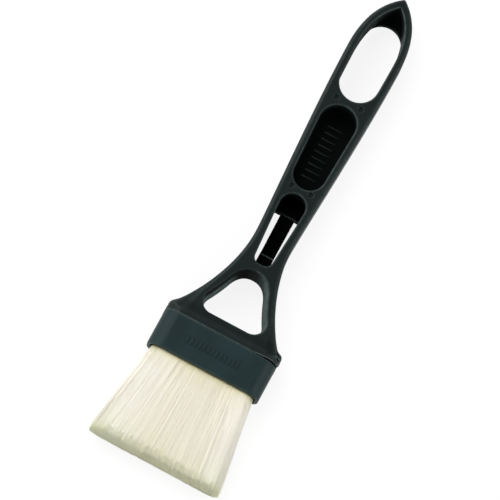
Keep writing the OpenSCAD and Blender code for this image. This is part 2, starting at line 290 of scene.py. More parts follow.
@dataclass(frozen=True)
class MouldedPolypropylene:
    """Glass-dark polypropylene, injection moulded in a spark-eroded steel mould.

    The eroded mould leaves a satin grain that softens every highlight. Flow marks make slow
    patches a shade lighter or darker, handling polishes and pales the edges, and fine rubs
    run along the part. The pale edges carry a painted highlight as well as wear, and the
    pockets carry painted shade: their colour goes nearly black and their shine drops with depth.
    """

    name: str
    colour: str = "#07110f"
    pale: str = "#0c1817"
    painted_shade_colour: str = "#020303"
    edge_colour: str = "#627371"
    roughness: float = 0.44
    cored_roughness: float = 0.36
    gloss_spread: float = 0.06
    specular_level: float = 0.13
    shade_shines: tuple[float, ...] = (1.0, 0.75, 0.5, 0.25)
    grain_mm: float = 0.45
    flow_mm: float = 9.0
    rub_mm: float = 0.5
    wear_and_highlight_mm: float = 2.6
    grain_depth: float = 0.22

    def build(self) -> Material:
        """Make the material.

        Returns:
            The finished material.
        """
        material, tree, shader = new_material(self.name)
        place = add_node(tree, "ShaderNodeTexCoord").outputs["Object"]
        tree.links.new(self.skin_colour(tree, place), shader.inputs["Base Color"])
        tree.links.new(self.skin_roughness(tree, place), shader.inputs["Roughness"])
        # Satin grain of the mould, drawn about ten times its real size so that it shows
        grain = add_node(
            tree,
            "ShaderNodeTexNoise",
            {"Vector": place, "Scale": per_metre(self.grain_mm), "Detail": 2.0, "Roughness": 0.6},
        )
        bump = add_node(
            tree,
            "ShaderNodeBump",
            {"Height": grain.outputs["Fac"], "Strength": self.grain_depth, "Distance": 0.04 * MM},
        )
        tree.links.new(bump.outputs["Normal"], shader.inputs["Normal"])
        shader.inputs["Specular IOR Level"].default_value = self.specular_level
        shader.inputs["IOR"].default_value = 1.49
        return material

    def skin_colour(self, tree: NodeTree, place: NodeSocket) -> NodeSocket:
        """Add the part of the tree that gives the skin its colour.

        Args:
            tree: The material's tree.
            place: Object coordinates.

        Returns:
            The colour.
        """
        # Flow marks: slow patches, longer along the part than across it
        along = add_node(tree, "ShaderNodeMapping", {"Vector": place, "Scale": (1.0, 0.4, 1.0)})
        flow = add_node(
            tree,
            "ShaderNodeTexNoise",
            {"Vector": along.outputs["Vector"], "Scale": per_metre(self.flow_mm), "Detail": 3.0},
        )
        patches = add_node(tree, "ShaderNodeValToRGB", {"Fac": flow.outputs["Fac"]})
        set_ramp(patches, [(0.3, linear(self.colour)), (0.72, linear(self.pale))])
        # Painted shade: the pockets and the walls that face away from the lamps go nearly black
        deep = add_node(tree, "ShaderNodeAttribute", attribute_name="deep").outputs["Fac"]
        shaded_skin = add_node(
            tree,
            "ShaderNodeMix",
            {"Factor": deep, "A": patches.outputs["Color"], "B": linear(self.painted_shade_colour)},
            data_type="RGBA",
        )
        # Wear and painted highlight: the skin stores how sharply it turns; noise breaks the line up
        turn = add_node(tree, "ShaderNodeAttribute", attribute_name="edge").outputs["Fac"]
        size = per_metre(self.wear_and_highlight_mm)
        breaks = add_node(
            tree,
            "ShaderNodeTexNoise",
            {"Vector": place, "Scale": size, "Detail": 4.0, "Roughness": 0.65},
        )
        paling = add_node(
            tree,
            "ShaderNodeMath",
            {0: turn, 1: breaks.outputs["Fac"]},
            operation="MULTIPLY",
            use_clamp=True,
        ).outputs[0]
        colour = add_node(
            tree,
            "ShaderNodeMix",
            {"Factor": paling, "A": shaded_skin.outputs["Result"], "B": linear(self.edge_colour)},
            data_type="RGBA",
        )
        return colour.outputs["Result"]

    def skin_roughness(self, tree: NodeTree, place: NodeSocket) -> NodeSocket:
        """Add the part of the tree that gives the skin its roughness.

        Args:
            tree: The material's tree.
            place: Object coordinates.

        Returns:
            The roughness.
        """
        # Fine rubs, stretched along the part
        along = add_node(tree, "ShaderNodeMapping", {"Vector": place, "Scale": (1.0, 0.06, 1.0)})
        rubs = add_node(
            tree,
            "ShaderNodeTexNoise",
            {"Vector": along.outputs["Vector"], "Scale": per_metre(self.rub_mm), "Detail": 3.0},
        )
        gloss = add_node(
            tree,
            "ShaderNodeMapRange",
            {
                "Value": rubs.outputs["Fac"],
                "From Min": 0.3,
                "From Max": 0.75,
                "To Min": self.roughness + self.gloss_spread,
                "To Max": self.roughness - self.gloss_spread,
            },
        )
        # The cores that shaped the openings were left coarser than the outside of the mould
        cored = add_node(tree, "ShaderNodeAttribute", attribute_name="cored").outputs["Fac"]
        rough = add_node(
            tree,
            "ShaderNodeMath",
            {0: cored, 1: self.cored_roughness, 2: gloss.outputs["Result"]},
            operation="MULTIPLY_ADD",
        )
        return rough.outputs[0]

    def shades(self) -> list[Material]:
        """Make the plastic in steps of shine, as painted shade: open faces first, pockets last.

        Returns:
            One material for each step.
        """
        materials = []
        for step, share in enumerate(self.shade_shines):
            name = f"{self.name}_shade_{step}" if step else self.name
            shade = replace(self, name=name, specular_level=self.specular_level * share)
            materials.append(shade.build())
        return materials


@dataclass(frozen=True)
class BleachedFilament:
    """Bleached goat hair and nylon filament mixed, dressed and trimmed square.

    Cream in the body, a little golden where glue meets it at the ferrule, with a painted shadow
    just below the ferrule's lip, and cool and faintly green towards the tapered ends, partly
    painted shade there. The flanks are painted lighter than the middle. Each filament has its
    own tint.
    """

    name: str = "bleached_filament"
    lip_shadow_colour: str = "#77754a"
    shaded_colour: str = "#efedd2"
    root_colour: str = "#fbf9ee"
    body_colour: str = "#fffefa"
    end_colour: str = "#fefff7"
    cut_colour: str = "#f8fce4"
    lit_flank_colour: str = "#fffffe"
    middle_colour: str = "#fffdf7"
    dark_tint: str = "#f3eedf"
    roughness: float = 0.55
    gloss_spread: float = 0.1
    scale_mm: float = 0.5

    def build(self) -> Material:
        """Make the material.

        Returns:
            The finished material.
        """
        material, tree, shader = new_material(self.name)
        tree.links.new(self.hair_colour(tree), shader.inputs["Base Color"])
        # Scales and stretch marks across a filament, drawn coarse enough to glint
        place = add_node(tree, "ShaderNodeTexCoord").outputs["Object"]
        scales = add_node(
            tree,
            "ShaderNodeTexNoise",
            {"Vector": place, "Scale": per_metre(self.scale_mm), "Detail": 2.0},
        )
        gloss = add_node(
            tree,
            "ShaderNodeMapRange",
            {
                "Value": scales.outputs["Fac"],
                "To Min": self.roughness - self.gloss_spread,
                "To Max": self.roughness + self.gloss_spread,
            },
        )
        tree.links.new(gloss.outputs["Result"], shader.inputs["Roughness"])
        shader.inputs["IOR"].default_value = 1.54
        shader.inputs["Specular IOR Level"].default_value = 0.3
        return material

    def hair_colour(self, tree: NodeTree) -> NodeSocket:
        """Add the part of the tree that tints each filament from its root to its end.

        Args:
            tree: The material's tree.

        Returns:
            The colour.
        """
        along = add_node(tree, "ShaderNodeAttribute", attribute_name="along").outputs["Fac"]
        tint = add_node(tree, "ShaderNodeAttribute", attribute_name="tint").outputs["Fac"]
        length = add_node(tree, "ShaderNodeValToRGB", {"Fac": along})
        # Painted shadow below the lip; the trimmed ends' green is partly painted shade
        set_ramp(
            length,
            [
                (0.141, linear(self.lip_shadow_colour)),
                (0.16, linear(self.shaded_colour)),
                (0.2, linear(self.root_colour)),
                (0.34, linear(self.body_colour)),
                (0.72, linear(self.body_colour)),
                (0.93, linear(self.end_colour)),
                (1.0, linear(self.cut_colour)),
            ],
        )
        darker = add_node(
            tree,
            "ShaderNodeMix",
            {"Factor": tint, "A": (1.0, 1.0, 1.0, 1.0), "B": linear(self.dark_tint)},
            data_type="RGBA",
        )
        tinted = add_node(
            tree,
            "ShaderNodeMix",
            {"Factor": 1.0, "A": length.outputs["Color"], "B": darker.outputs["Result"]},
            data_type="RGBA",
            blend_type="MULTIPLY",
        )
        # Painted light: the flanks of the pack are painted whiter than its middle
        seat = add_node(tree, "ShaderNodeAttribute", attribute_name="u").outputs["Fac"]
        share = add_node(tree, "ShaderNodeMapRange", {"Value": seat, "From Min": -1.0})
        across = add_node(tree, "ShaderNodeValToRGB", {"Fac": share.outputs["Result"]})
        set_ramp(
            across,
            [
                (0.08, linear(self.lit_flank_colour)),
                (0.38, linear(self.middle_colour)),
                (0.84, linear(self.middle_colour)),
                (0.98, linear(self.lit_flank_colour)),
            ],
        )
        colour = add_node(
            tree,
            "ShaderNodeMix",
            {"Factor": 1.0, "A": tinted.outputs["Result"], "B": across.outputs["Color"]},
            data_type="RGBA",
            blend_type="MULTIPLY",
        )
        return colour.outputs["Result"]


@dataclass(frozen=True)
class PouredEpoxy:
    """Two-part epoxy, poured over the bristle roots and left to harden.

    Amber, glossy, and clouded by fine air bubbles.
    """

    name: str = "poured_epoxy"
    clear_colour: str = "#b98d3e"
    cloudy_colour: str = "#d9bc7c"
    roughness: float = 0.18
    cloud_mm: float = 3.0
    bubble_mm: float = 0.7

    def build(self) -> Material:
        """Make the material.

        Returns:
            The finished material.
        """
        material, tree, shader = new_material(self.name)
        place = add_node(tree, "ShaderNodeTexCoord").outputs["Object"]
        clouds = add_node(
            tree,
            "ShaderNodeTexNoise",
            {"Vector": place, "Scale": per_metre(self.cloud_mm), "Detail": 4.0},
        )
        tone = add_node(tree, "ShaderNodeValToRGB", {"Fac": clouds.outputs["Fac"]})
        set_ramp(tone, [(0.35, linear(self.clear_colour)), (0.7, linear(self.cloudy_colour))])
        tree.links.new(tone.outputs["Color"], shader.inputs["Base Color"])
        bubbles = add_node(
            tree, "ShaderNodeTexVoronoi", {"Vector": place, "Scale": per_metre(self.bubble_mm)}
        )
        bump = add_node(
            tree,
            "ShaderNodeBump",
            {"Height": bubbles.outputs["Distance"], "Strength": 0.4, "Distance": 0.1 * MM},
        )
        tree.links.new(bump.outputs["Normal"], shader.inputs["Normal"])
        shader.inputs["Roughness"].default_value = self.roughness
        return material


@dataclass(frozen=True)
class SawnBasswood:
    """Basswood strip, plain sawn and left bare.

    Pale and dull, with fine straight grain along the strip and a faint saw texture.
    """

    name: str = "sawn_basswood"
    light_colour: str = "#d8bf93"
    dark_colour: str = "#b5935f"
    roughness: float = 0.72
    grain_mm: float = 0.6

    def build(self) -> Material:
        """Make the material.

        Returns:
            The finished material.
        """
        material, tree, shader = new_material(self.name)
        place = add_node(tree, "ShaderNodeTexCoord").outputs["Object"]
        along = add_node(tree, "ShaderNodeMapping", {"Vector": place, "Scale": (0.05, 1.0, 1.0)})
        grain = add_node(
            tree,
            "ShaderNodeTexNoise",
            {"Vector": along.outputs["Vector"], "Scale": per_metre(self.grain_mm), "Detail": 5.0},
        )
        tone = add_node(tree, "ShaderNodeValToRGB", {"Fac": grain.outputs["Fac"]})
        set_ramp(tone, [(0.3, linear(self.dark_colour)), (0.65, linear(self.light_colour))])
        tree.links.new(tone.outputs["Color"], shader.inputs["Base Color"])
        bump = add_node(
            tree,
            "ShaderNodeBump",
            {"Height": grain.outputs["Fac"], "Strength": 0.5, "Distance": 0.05 * MM},
        )
        tree.links.new(bump.outputs["Normal"], shader.inputs["Normal"])
        shader.inputs["Roughness"].default_value = self.roughness
        return material


# ---- Distance fields and the skin drawn on them ----


def cubic(points: Sequence[Point], count: int) -> list[Point]:
    """Sample the cubic curve through four control points.

    Args:
        points: The four control points.
        count: Number of steps.

    Returns:
        The points, with both ends.
    """
    t = np.linspace(0.0, 1.0, count + 1)[:, None]
    p = np.array(points, float)
    back = 1 - t
    line = back**3 * p[0] + 3 * t * back**2 * p[1] + 3 * t * t * back * p[2] + t**3 * p[3]
    return [(float(a), float(b)) for a, b in line]


def ramp(values: Array, start: float, end: float) -> Array:
    """Rise evenly from 0 where a value is start to 1 where it is end."""
    return np.clip((values - start) / (end - start), 0, 1)


def polygon_distance(x: Array, y: Array, corners: Sequence[Point]) -> Array:
    """Signed distance in the plane to a closed outline, negative inside it.

    Args:
        x: Places across, of any shape that broadcasts with y.
        y: Places along.
        corners: The outline's corners in order.

    Returns:
        The distance at each place.
    """
    x, y = np.broadcast_arrays(x, y)
    nearest = np.full(x.shape, 1e9, np.float32)
    inside = np.zeros(x.shape, bool)
    for (ax, ay), (bx, by) in zip(corners, list(corners[1:]) + [corners[0]]):
        ex, ey = bx - ax, by - ay
        if ex * ex + ey * ey < 1e-12:
            continue
        wx, wy = x - ax, y - ay
        t = np.clip((wx * ex + wy * ey) / (ex * ex + ey * ey), 0, 1)
        dx, dy = wx - t * ex, wy - t * ey
        np.minimum(nearest, dx * dx + dy * dy, out=nearest)
        crosses = (ay > y) != (by > y)
        if abs(ey) > 1e-9:
            inside ^= crosses & (x < ax + (y - ay) * ex / ey)
    away = np.sqrt(nearest)
    return np.where(inside, -away, away)


def disc(x: Array, y: Array, centre: Point, radius: float) -> Array:
    """Signed distance to a disc, or to a round bar where x and y are two of three axes."""
    return np.sqrt((x - centre[0]) ** 2 + (y - centre[1]) ** 2) - radius


def rounded_box(x: Array, z: Array, half_x: float, half_z: float, radius: float) -> Array:
    """Signed distance to a rectangle with round corners, centred on the origin.

    Args:
        x: First coordinate.
        z: Second coordinate.
        half_x: Half the size along the first.
        half_z: Half the size along the second.
        radius: Corner radius.

    Returns:
        The distance at each place.
    """
    qx = np.abs(x) - (half_x - radius)
    qz = np.abs(z) - (half_z - radius)
    outside = np.sqrt(np.maximum(qx, 0) ** 2 + np.maximum(qz, 0) ** 2)
    return outside + np.minimum(np.maximum(qx, qz), 0) - radius


def meet(a: Array, b: Array, radius: Array | float) -> Array:
    """Common part of two solids, with their edge rounded to a radius."""
    both = np.sqrt(np.maximum(a + radius, 0) ** 2 + np.maximum(b + radius, 0) ** 2)
    return np.minimum(np.maximum(a, b), -radius) + both


def join(a: Array, b: Array, radius: float) -> Array:
    """Both solids together, with the corner between them filled to a radius."""
    both = np.sqrt(np.maximum(radius - a, 0) ** 2 + np.maximum(radius - b, 0) ** 2)
    return np.maximum(np.minimum(a, b), radius) - both


def cut(solid: Array, hole: Array, lip: float) -> Array:
    """A solid less a hole, with the lip round the hole rounded to a radius."""
    return meet(solid, -hole, lip)


@dataclass
class Skin:
    """Draws a closed skin of small faces on the zero level of a distance field."""

    low: Triple
    high: Triple
    step: float
    settle_rounds: int = 2
    most_triangles: int = 190000
    feel: float = 0.35
    turn_gain: float = 0.9

    def axes(self) -> Places:
        """Give the grid's places.

        Returns:
            Places across, along from the seam and through the thickness, shaped to broadcast
            against each other.
        """
        lines = [
            np.arange(a, b + self.step, self.step, dtype=np.float32)
            for a, b in zip(self.low, self.high)
        ]
        return lines[0][:, None, None], lines[1][None, :, None], lines[2][None, None, :]

    def sample(self, values: Array, places: Array) -> Array:
        """Read the field between its grid points.

        Args:
            values: The field on the grid.
            places: Places in grid steps, one row each.

        Returns:
            The field's value at each place.
        """
        top = np.array(values.shape) - 2
        cell = np.clip(np.floor(places).astype(int), 0, top)
        f = np.clip(places - cell, 0, 1)
        i, j, k = cell.T
        total = np.zeros(len(places))
        for dx in (0, 1):
            for dy in (0, 1):
                for dz in (0, 1):
                    share = np.abs(1 - np.array([dx, dy, dz]) - f).prod(1)
                    total += share * values[i + dx, j + dy, k + dz]
        return total

    def slope(self, values: Array, places: Array, reach: float = 0.6) -> Array:
        """Find the field's gradient.

        Args:
            values: The field on the grid.
            places: Places in grid steps, one row each.
            reach: How far to each side the field is read, in grid steps.

        Returns:
            The gradient per grid step at each place.
        """
        parts = []
        for axis in range(3):
            shift = np.zeros(3)
            shift[axis] = reach
            ahead = self.sample(values, places + shift)
            behind = self.sample(values, places - shift)
            parts.append((ahead - behind) / (2 * reach))
        return np.stack(parts, 1)

    def net(self, values: Array) -> tuple[Array, Array]:
        """Find one point in each cell that the zero level passes, and join neighbours by quads.

        Args:
            values: The field on the grid, negative inside the solid.

        Returns:
            The points in grid steps, and the quads as rows of four point numbers.
        """
        solid = values < 0
        n = [s - 1 for s in values.shape]
        corners = [(a, b, c) for a in (0, 1) for b in (0, 1) for c in (0, 1)]
        count = sum(
            solid[a : a + n[0], b : b + n[1], c : c + n[2]].astype(np.uint8) for a, b, c in corners
        )
        mixed = (count > 0) & (count < 8)
        cells = np.argwhere(mixed)
        number = np.full(mixed.shape, -1, np.int32)
        number[mixed] = np.arange(len(cells))
        total = np.zeros((len(cells), 3))
        hits = np.zeros(len(cells))
        for start in corners:
            for axis in range(3):
                if start[axis]:
                    continue
                end = list(start)
                end[axis] = 1
                a = values[tuple((cells + start).T)].astype(float)
                b = values[tuple((cells + end).T)].astype(float)
                crossing = (a < 0) != (b < 0)
                t = np.where(crossing, a / np.where(crossing, a - b, 1), 0)
                place = np.array(start, float)[None, :].repeat(len(cells), 0)
                place[:, axis] += t
                total += np.where(crossing[:, None], place, 0)
                hits += crossing
        points = cells + total / hits[:, None]
        quads = []
        for axis in range(3):
            u, v = (axis + 1) % 3, (axis + 2) % 3
            first = [slice(None)] * 3
            second = [slice(None)] * 3
            first[axis], second[axis] = slice(0, -1), slice(1, None)
            inner, outer = solid[tuple(first)], solid[tuple(second)]
            for leaving in (True, False):
                where = np.argwhere((inner & ~outer) if leaving else (~inner & outer))
                keep = (where[:, u] > 0) & (where[:, v] > 0)
                where = where[keep]
                ring = []
                for du, dv in ((-1, -1), (0, -1), (0, 0), (-1, 0)):
                    at = where.copy()
                    at[:, u] += du
                    at[:, v] += dv
                    ring.append(number[tuple(at.T)])
                quad = np.stack(ring if leaving else ring[::-1], 1)
                quads.append(quad[(quad >= 0).all(1)])
        return points, np.concatenate(quads)

    def draw(self, name: str, values: Array, seam: float) -> Object:
        """Turn a distance field to a smooth closed mesh in the frame.

        Args:
            name: The new object's name.
            values: The field on the grid, in millimetres, negative inside.
            seam: Place of the seam along the frame, in metres.

        Returns:
            The object, with an "edge" attribute that says how sharply the skin turns.
        """
        points, quads = self.net(values)
        for _ in range(self.settle_rounds):
            slope = self.slope(values, points)
            size = np.maximum((slope**2).sum(1), 1e-9)
            move = -self.sample(values, points)[:, None] * slope / size[:, None]
            points = points + np.clip(move, -0.5, 0.5)
        mesh = bpy.data.meshes.new(name)
        mesh.vertices.add(len(points))
        mesh.vertices.foreach_set("co", self.to_frame(points, seam).astype(np.float32).ravel())
        mesh.loops.add(quads.size)
        mesh.loops.foreach_set("vertex_index", quads.astype(np.int32).ravel())
        mesh.polygons.add(len(quads))
        mesh.polygons.foreach_set("loop_start", np.arange(0, quads.size, 4, dtype=np.int32))
        mesh.update(calc_edges=True)
        obj = bpy.data.objects.new(name, mesh)
        bpy.context.collection.objects.link(obj)
        triangles = 2 * len(quads)
        if triangles > self.most_triangles:
            self.thin(obj, self.most_triangles / triangles)
        self.finish(obj.data, values, seam)
        log.info("%s: skin of %d faces from %d", name, len(obj.data.polygons), triangles)
        return obj

    def thin(self, obj: Object, ratio: float) -> None:
        """Merge faces where the skin is flattest.

        Args:
            obj: The object whose mesh is thinned.
            ratio: The share of its triangles that stays.
        """
        modifier = obj.modifiers.new("thin", "DECIMATE")
        modifier.ratio = ratio
        graph = bpy.context.evaluated_depsgraph_get()
        mesh = bpy.data.meshes.new_from_object(obj.evaluated_get(graph))
        obj.modifiers.remove(modifier)
        mesh.name = obj.name
        obj.data = mesh

    def to_frame(self, points: Array, seam: float) -> Array:
        """Turn places in grid steps to metres in the frame."""
        return (points * self.step + np.array(self.low)) * MM + np.array([0.0, seam, 0.0])

    def finish(self, mesh: Mesh, values: Array, seam: float) -> None:
        """Shade the mesh smooth by the field's own direction, and store how sharply it turns.

        Args:
            mesh: The mesh to finish.
            values: The field on the grid.
            seam: Place of the seam along the frame, in metres.
        """
        metres = vertex_places(mesh).astype(float) - np.array([0.0, seam, 0.0])
        places = (metres / MM - np.array(self.low)) / self.step
        normals = self.slope(values, places, 0.5)
        normals /= np.maximum(np.linalg.norm(normals, axis=1), 1e-9)[:, None]
        reach = self.feel / self.step
        here = self.sample(values, places)
        around = np.zeros(len(places))
        for axis in range(3):
            for way in (-1, 1):
                shift = np.zeros(3)
                shift[axis] = way * reach
                around += self.sample(values, places + shift)
        turn = (around - 6 * here) / self.feel
        mesh.polygons.foreach_set("use_smooth", np.ones(len(mesh.polygons), bool))
        mesh.normals_split_custom_set_from_vertices(normals.astype(np.float32))
        store_values(mesh, "edge", np.clip(turn * self.turn_gain, 0, 1))


# ---- Repeats by Geometry Nodes ----


@dataclass
class NodeRepeater:
    """Builds one Geometry Nodes tree, runs it on a seed mesh and keeps the plain result."""

    name: str
    material: Material
    tree: NodeTree = field(init=False)
    sockets: dict[str, str] = field(default_factory=dict)

    def __post_init__(self) -> None:
        """Start the tree with a geometry in and a geometry out."""
        self.tree = bpy.data.node_groups.new(self.name + "_tree", "GeometryNodeTree")
        for way in ("INPUT", "OUTPUT"):
            kind = "NodeSocketGeometry"
            self.tree.interface.new_socket("Geometry", in_out=way, socket_type=kind)

    def declare(self, name: str, kind: str = "NodeSocketFloat") -> None:
        """Add a named input to the tree."""
        socket = self.tree.interface.new_socket(name, in_out="INPUT", socket_type=kind)
        self.sockets[name] = socket.identifier

    def given(self) -> dict[str, Wire]:
        """Give the tree's inputs, each under its name.

        Returns:
            The seed geometry under "Geometry", and the declared inputs.
        """
        outputs = self.node("NodeGroupInput").outputs
        return {name: self.wire(outputs[name]) for name in ("Geometry", *self.sockets)}

    def wire(self, socket: NodeSocket) -> Wire:
        """Make a node's output fit for formulas."""
        return Wire(self.tree, socket)

    def node(self, kind: str, inputs: dict[Any, Any] | None = None, **settings: Any) -> Node:
        """Add a node to this tree."""
        return add_node(self.tree, kind, inputs, **settings)

    def close(self, geometry: NodeSocket) -> None:
        """End the tree: instances made real, material set.

        Args:
            geometry: What the tree has made.
        """
        real = self.node("GeometryNodeRealizeInstances", {"Geometry": geometry})
        dressed = self.node(
            "GeometryNodeSetMaterial", {"Geometry": real.outputs[0], "Material": self.material}
        )
        self.node("NodeGroupOutput", {"Geometry": dressed.outputs[0]})

    def run(self, seed_mesh: Mesh, values: dict[str, Any]) -> Object:
        """Run the tree once and keep what it makes as a plain mesh.

        Args:
            seed_mesh: The mesh that goes into the tree.
            values: The value of each named input.

        Returns:
            An object with the plain mesh and no modifier.
        """
        obj = bpy.data.objects.new(self.name, seed_mesh)
        bpy.context.collection.objects.link(obj)
        modifier = obj.modifiers.new("repeat", "NODES")
        modifier.node_group = self.tree
        for name, value in values.items():
            modifier[self.sockets[name]] = value
        graph = bpy.context.evaluated_depsgraph_get()
        mesh = bpy.data.meshes.new_from_object(obj.evaluated_get(graph))
        obj.modifiers.remove(modifier)
        mesh.name = self.name
        obj.data = mesh
        bpy.data.node_groups.remove(self.tree)
        log.info("%s: %d faces by repeat", self.name, len(mesh.polygons))
        return obj


class RibRun(Enum):
    """Direction in which a set of ribs is repeated."""

    ALONG = (0.0, 1.0, 0.0)
    ACROSS = (1.0, 0.0, 0.0)


@dataclass
class RibSet:
    """A row of plain raised ribs, the generic relief of a grip or a label field."""

    name: str
    count: int
    pitch: float
    size: Triple
    centre: Triple
    run: RibRun
    sink: float = 0.15
    roundness: float = 0.45

    def rib(self) -> Mesh:
        """Make one rib with rounded edges, standing on the surface that carries it.

        Returns:
            The rib's mesh, centred across and along.
        """
        box = bmesh.new()
        bmesh.ops.create_cube(box, size=1.0)
        sx, sy, sz = self.size
        for vert in box.verts:
            vert.co = Vector((vert.co.x * sx, vert.co.y * sy, vert.co.z * (sz + self.sink))) * MM
            vert.co.z += (sz - self.sink) / 2 * MM
        bmesh.ops.bevel(
            box,
            geom=[e for e in box.edges if max(v.co.z for v in e.verts) > 0],
            offset=min(sx, sy, sz) * self.roundness * MM,
            segments=3,
            affect="EDGES",
            profile=0.5,
        )
        for face in box.faces:
            face.smooth = True
        mesh = bpy.data.meshes.new(self.name + "_rib")
        box.to_mesh(mesh)
        box.free()
        return mesh

    def build(self, seam: float, material: Material) -> Object:
        """Repeat the rib along its row.

        Args:
            seam: Place of the seam along the frame, in metres.
            material: The ribs' finish.

        Returns:
            The object with all the ribs.
        """
        rows = NodeRepeater(self.name, material)
        rows.declare("Count", "NodeSocketInt")
        rows.declare("Start", "NodeSocketVector")
        rows.declare("Step", "NodeSocketVector")
        given = rows.given()
        line = rows.node(
            "GeometryNodeMeshLine",
            {"Count": given["Count"], "Start Location": given["Start"], "Offset": given["Step"]},
            mode="OFFSET",
        )
        placed = rows.node(
            "GeometryNodeInstanceOnPoints",
            {"Points": line.outputs["Mesh"], "Instance": given["Geometry"]},
        )
        rows.close(placed.outputs["Instances"])
        way = Vector(self.run.value)
        start = Vector(self.centre) - way * self.pitch * (self.count - 1) / 2
        shift = Vector((0.0, seam, 0.0))
        return rows.run(
            self.rib(),
            {
                "Count": self.count,
                "Start": tuple(start * MM + shift),
                "Step": tuple(way * self.pitch * MM),
            },
        )


# ---- The mouldings ----


@dataclass
class HandleOutline:
    """The handle's plan: how wide it is at each height above the seam."""

    length: float = 164.6
    flange: float = 3.3
    shoulder: float = 6.8
    half_flange: float = 25.5
    half_shoulder: float = 22.8
    waist: float = 46.4
    half_waist: float = 8.4
    widest: float = 136.7
    half_widest: float = 12.05
    nose_radius: float = 0.9
    nose_lean: float = 1.25
    flange_pull: float = 1.4
    shoulder_pull: float = 1.1
    arm_pull: Point = (5.5, 6.0)
    waist_pull: Point = (16.8, 10.0)
    widest_pull: Point = (32.0, 16.5)
    nose_pull: float = 4.0
    curve_steps: tuple[int, ...] = (8, 24, 24, 24)
    nose_steps: int = 6

    def right_side(self) -> list[Point]:
        """Draw the right half, each curve between two heights with a pull at both its ends.

        Returns:
            Points as [across, along] from the flange to the nose's apex.
        """
        apex_angle = math.atan2(1.0, self.nose_lean)
        centre = self.length - self.nose_radius
        start = (
            self.nose_radius * math.cos(math.pi / 2 - apex_angle),
            centre + self.nose_radius * math.sin(math.pi / 2 - apex_angle),
        )
        rise = self.nose_pull
        lean = (rise * math.tan(math.pi / 2 - apex_angle) + start[0], start[1] - rise)
        curves = [
            [
                (self.half_flange, self.flange),
                (self.half_flange, self.flange + self.flange_pull),
                (self.half_shoulder + self.shoulder_pull, self.shoulder - self.shoulder_pull),
                (self.half_shoulder, self.shoulder),
            ],
            [
                (self.half_shoulder, self.shoulder),
                (self.half_shoulder - self.arm_pull[0], self.shoulder + self.arm_pull[1]),
                (self.half_waist, self.waist - self.waist_pull[0]),
                (self.half_waist, self.waist),
            ],
            [
                (self.half_waist, self.waist),
                (self.half_waist, self.waist + self.waist_pull[1]),
                (self.half_widest, self.widest - self.widest_pull[0]),
                (self.half_widest, self.widest),
            ],
            [
                (self.half_widest, self.widest),
                (self.half_widest, self.widest + self.widest_pull[1]),
                lean,
                start,
            ],
        ]
        points: list[Point] = [(self.half_flange, self.flange)]
        for curve, count in zip(curves, self.curve_steps):
            points += cubic(curve, count)[1:]
        for i in range(1, self.nose_steps + 1):
            a = (math.pi / 2 - apex_angle) + apex_angle * i / self.nose_steps
            points.append((self.nose_radius * math.cos(a), centre + self.nose_radius * math.sin(a)))
        return points

    def corners(self, below: float) -> list[Point]:
        """Give the closed outline, carried on straight below the seam.

        Args:
            below: How far it goes on below the seam.

        Returns:
            Corners as [across, along].
        """
        right = [(self.half_flange, -below)] + self.right_side()
        left = [(-x, y) for x, y in reversed(right) if x > 1e-6]
        return right + left

    def half_width(self, y: float) -> float:
        """Give the half width at one height."""
        side = self.right_side()
        return float(np.interp(y, [p[1] for p in side], [p[0] for p in side]))


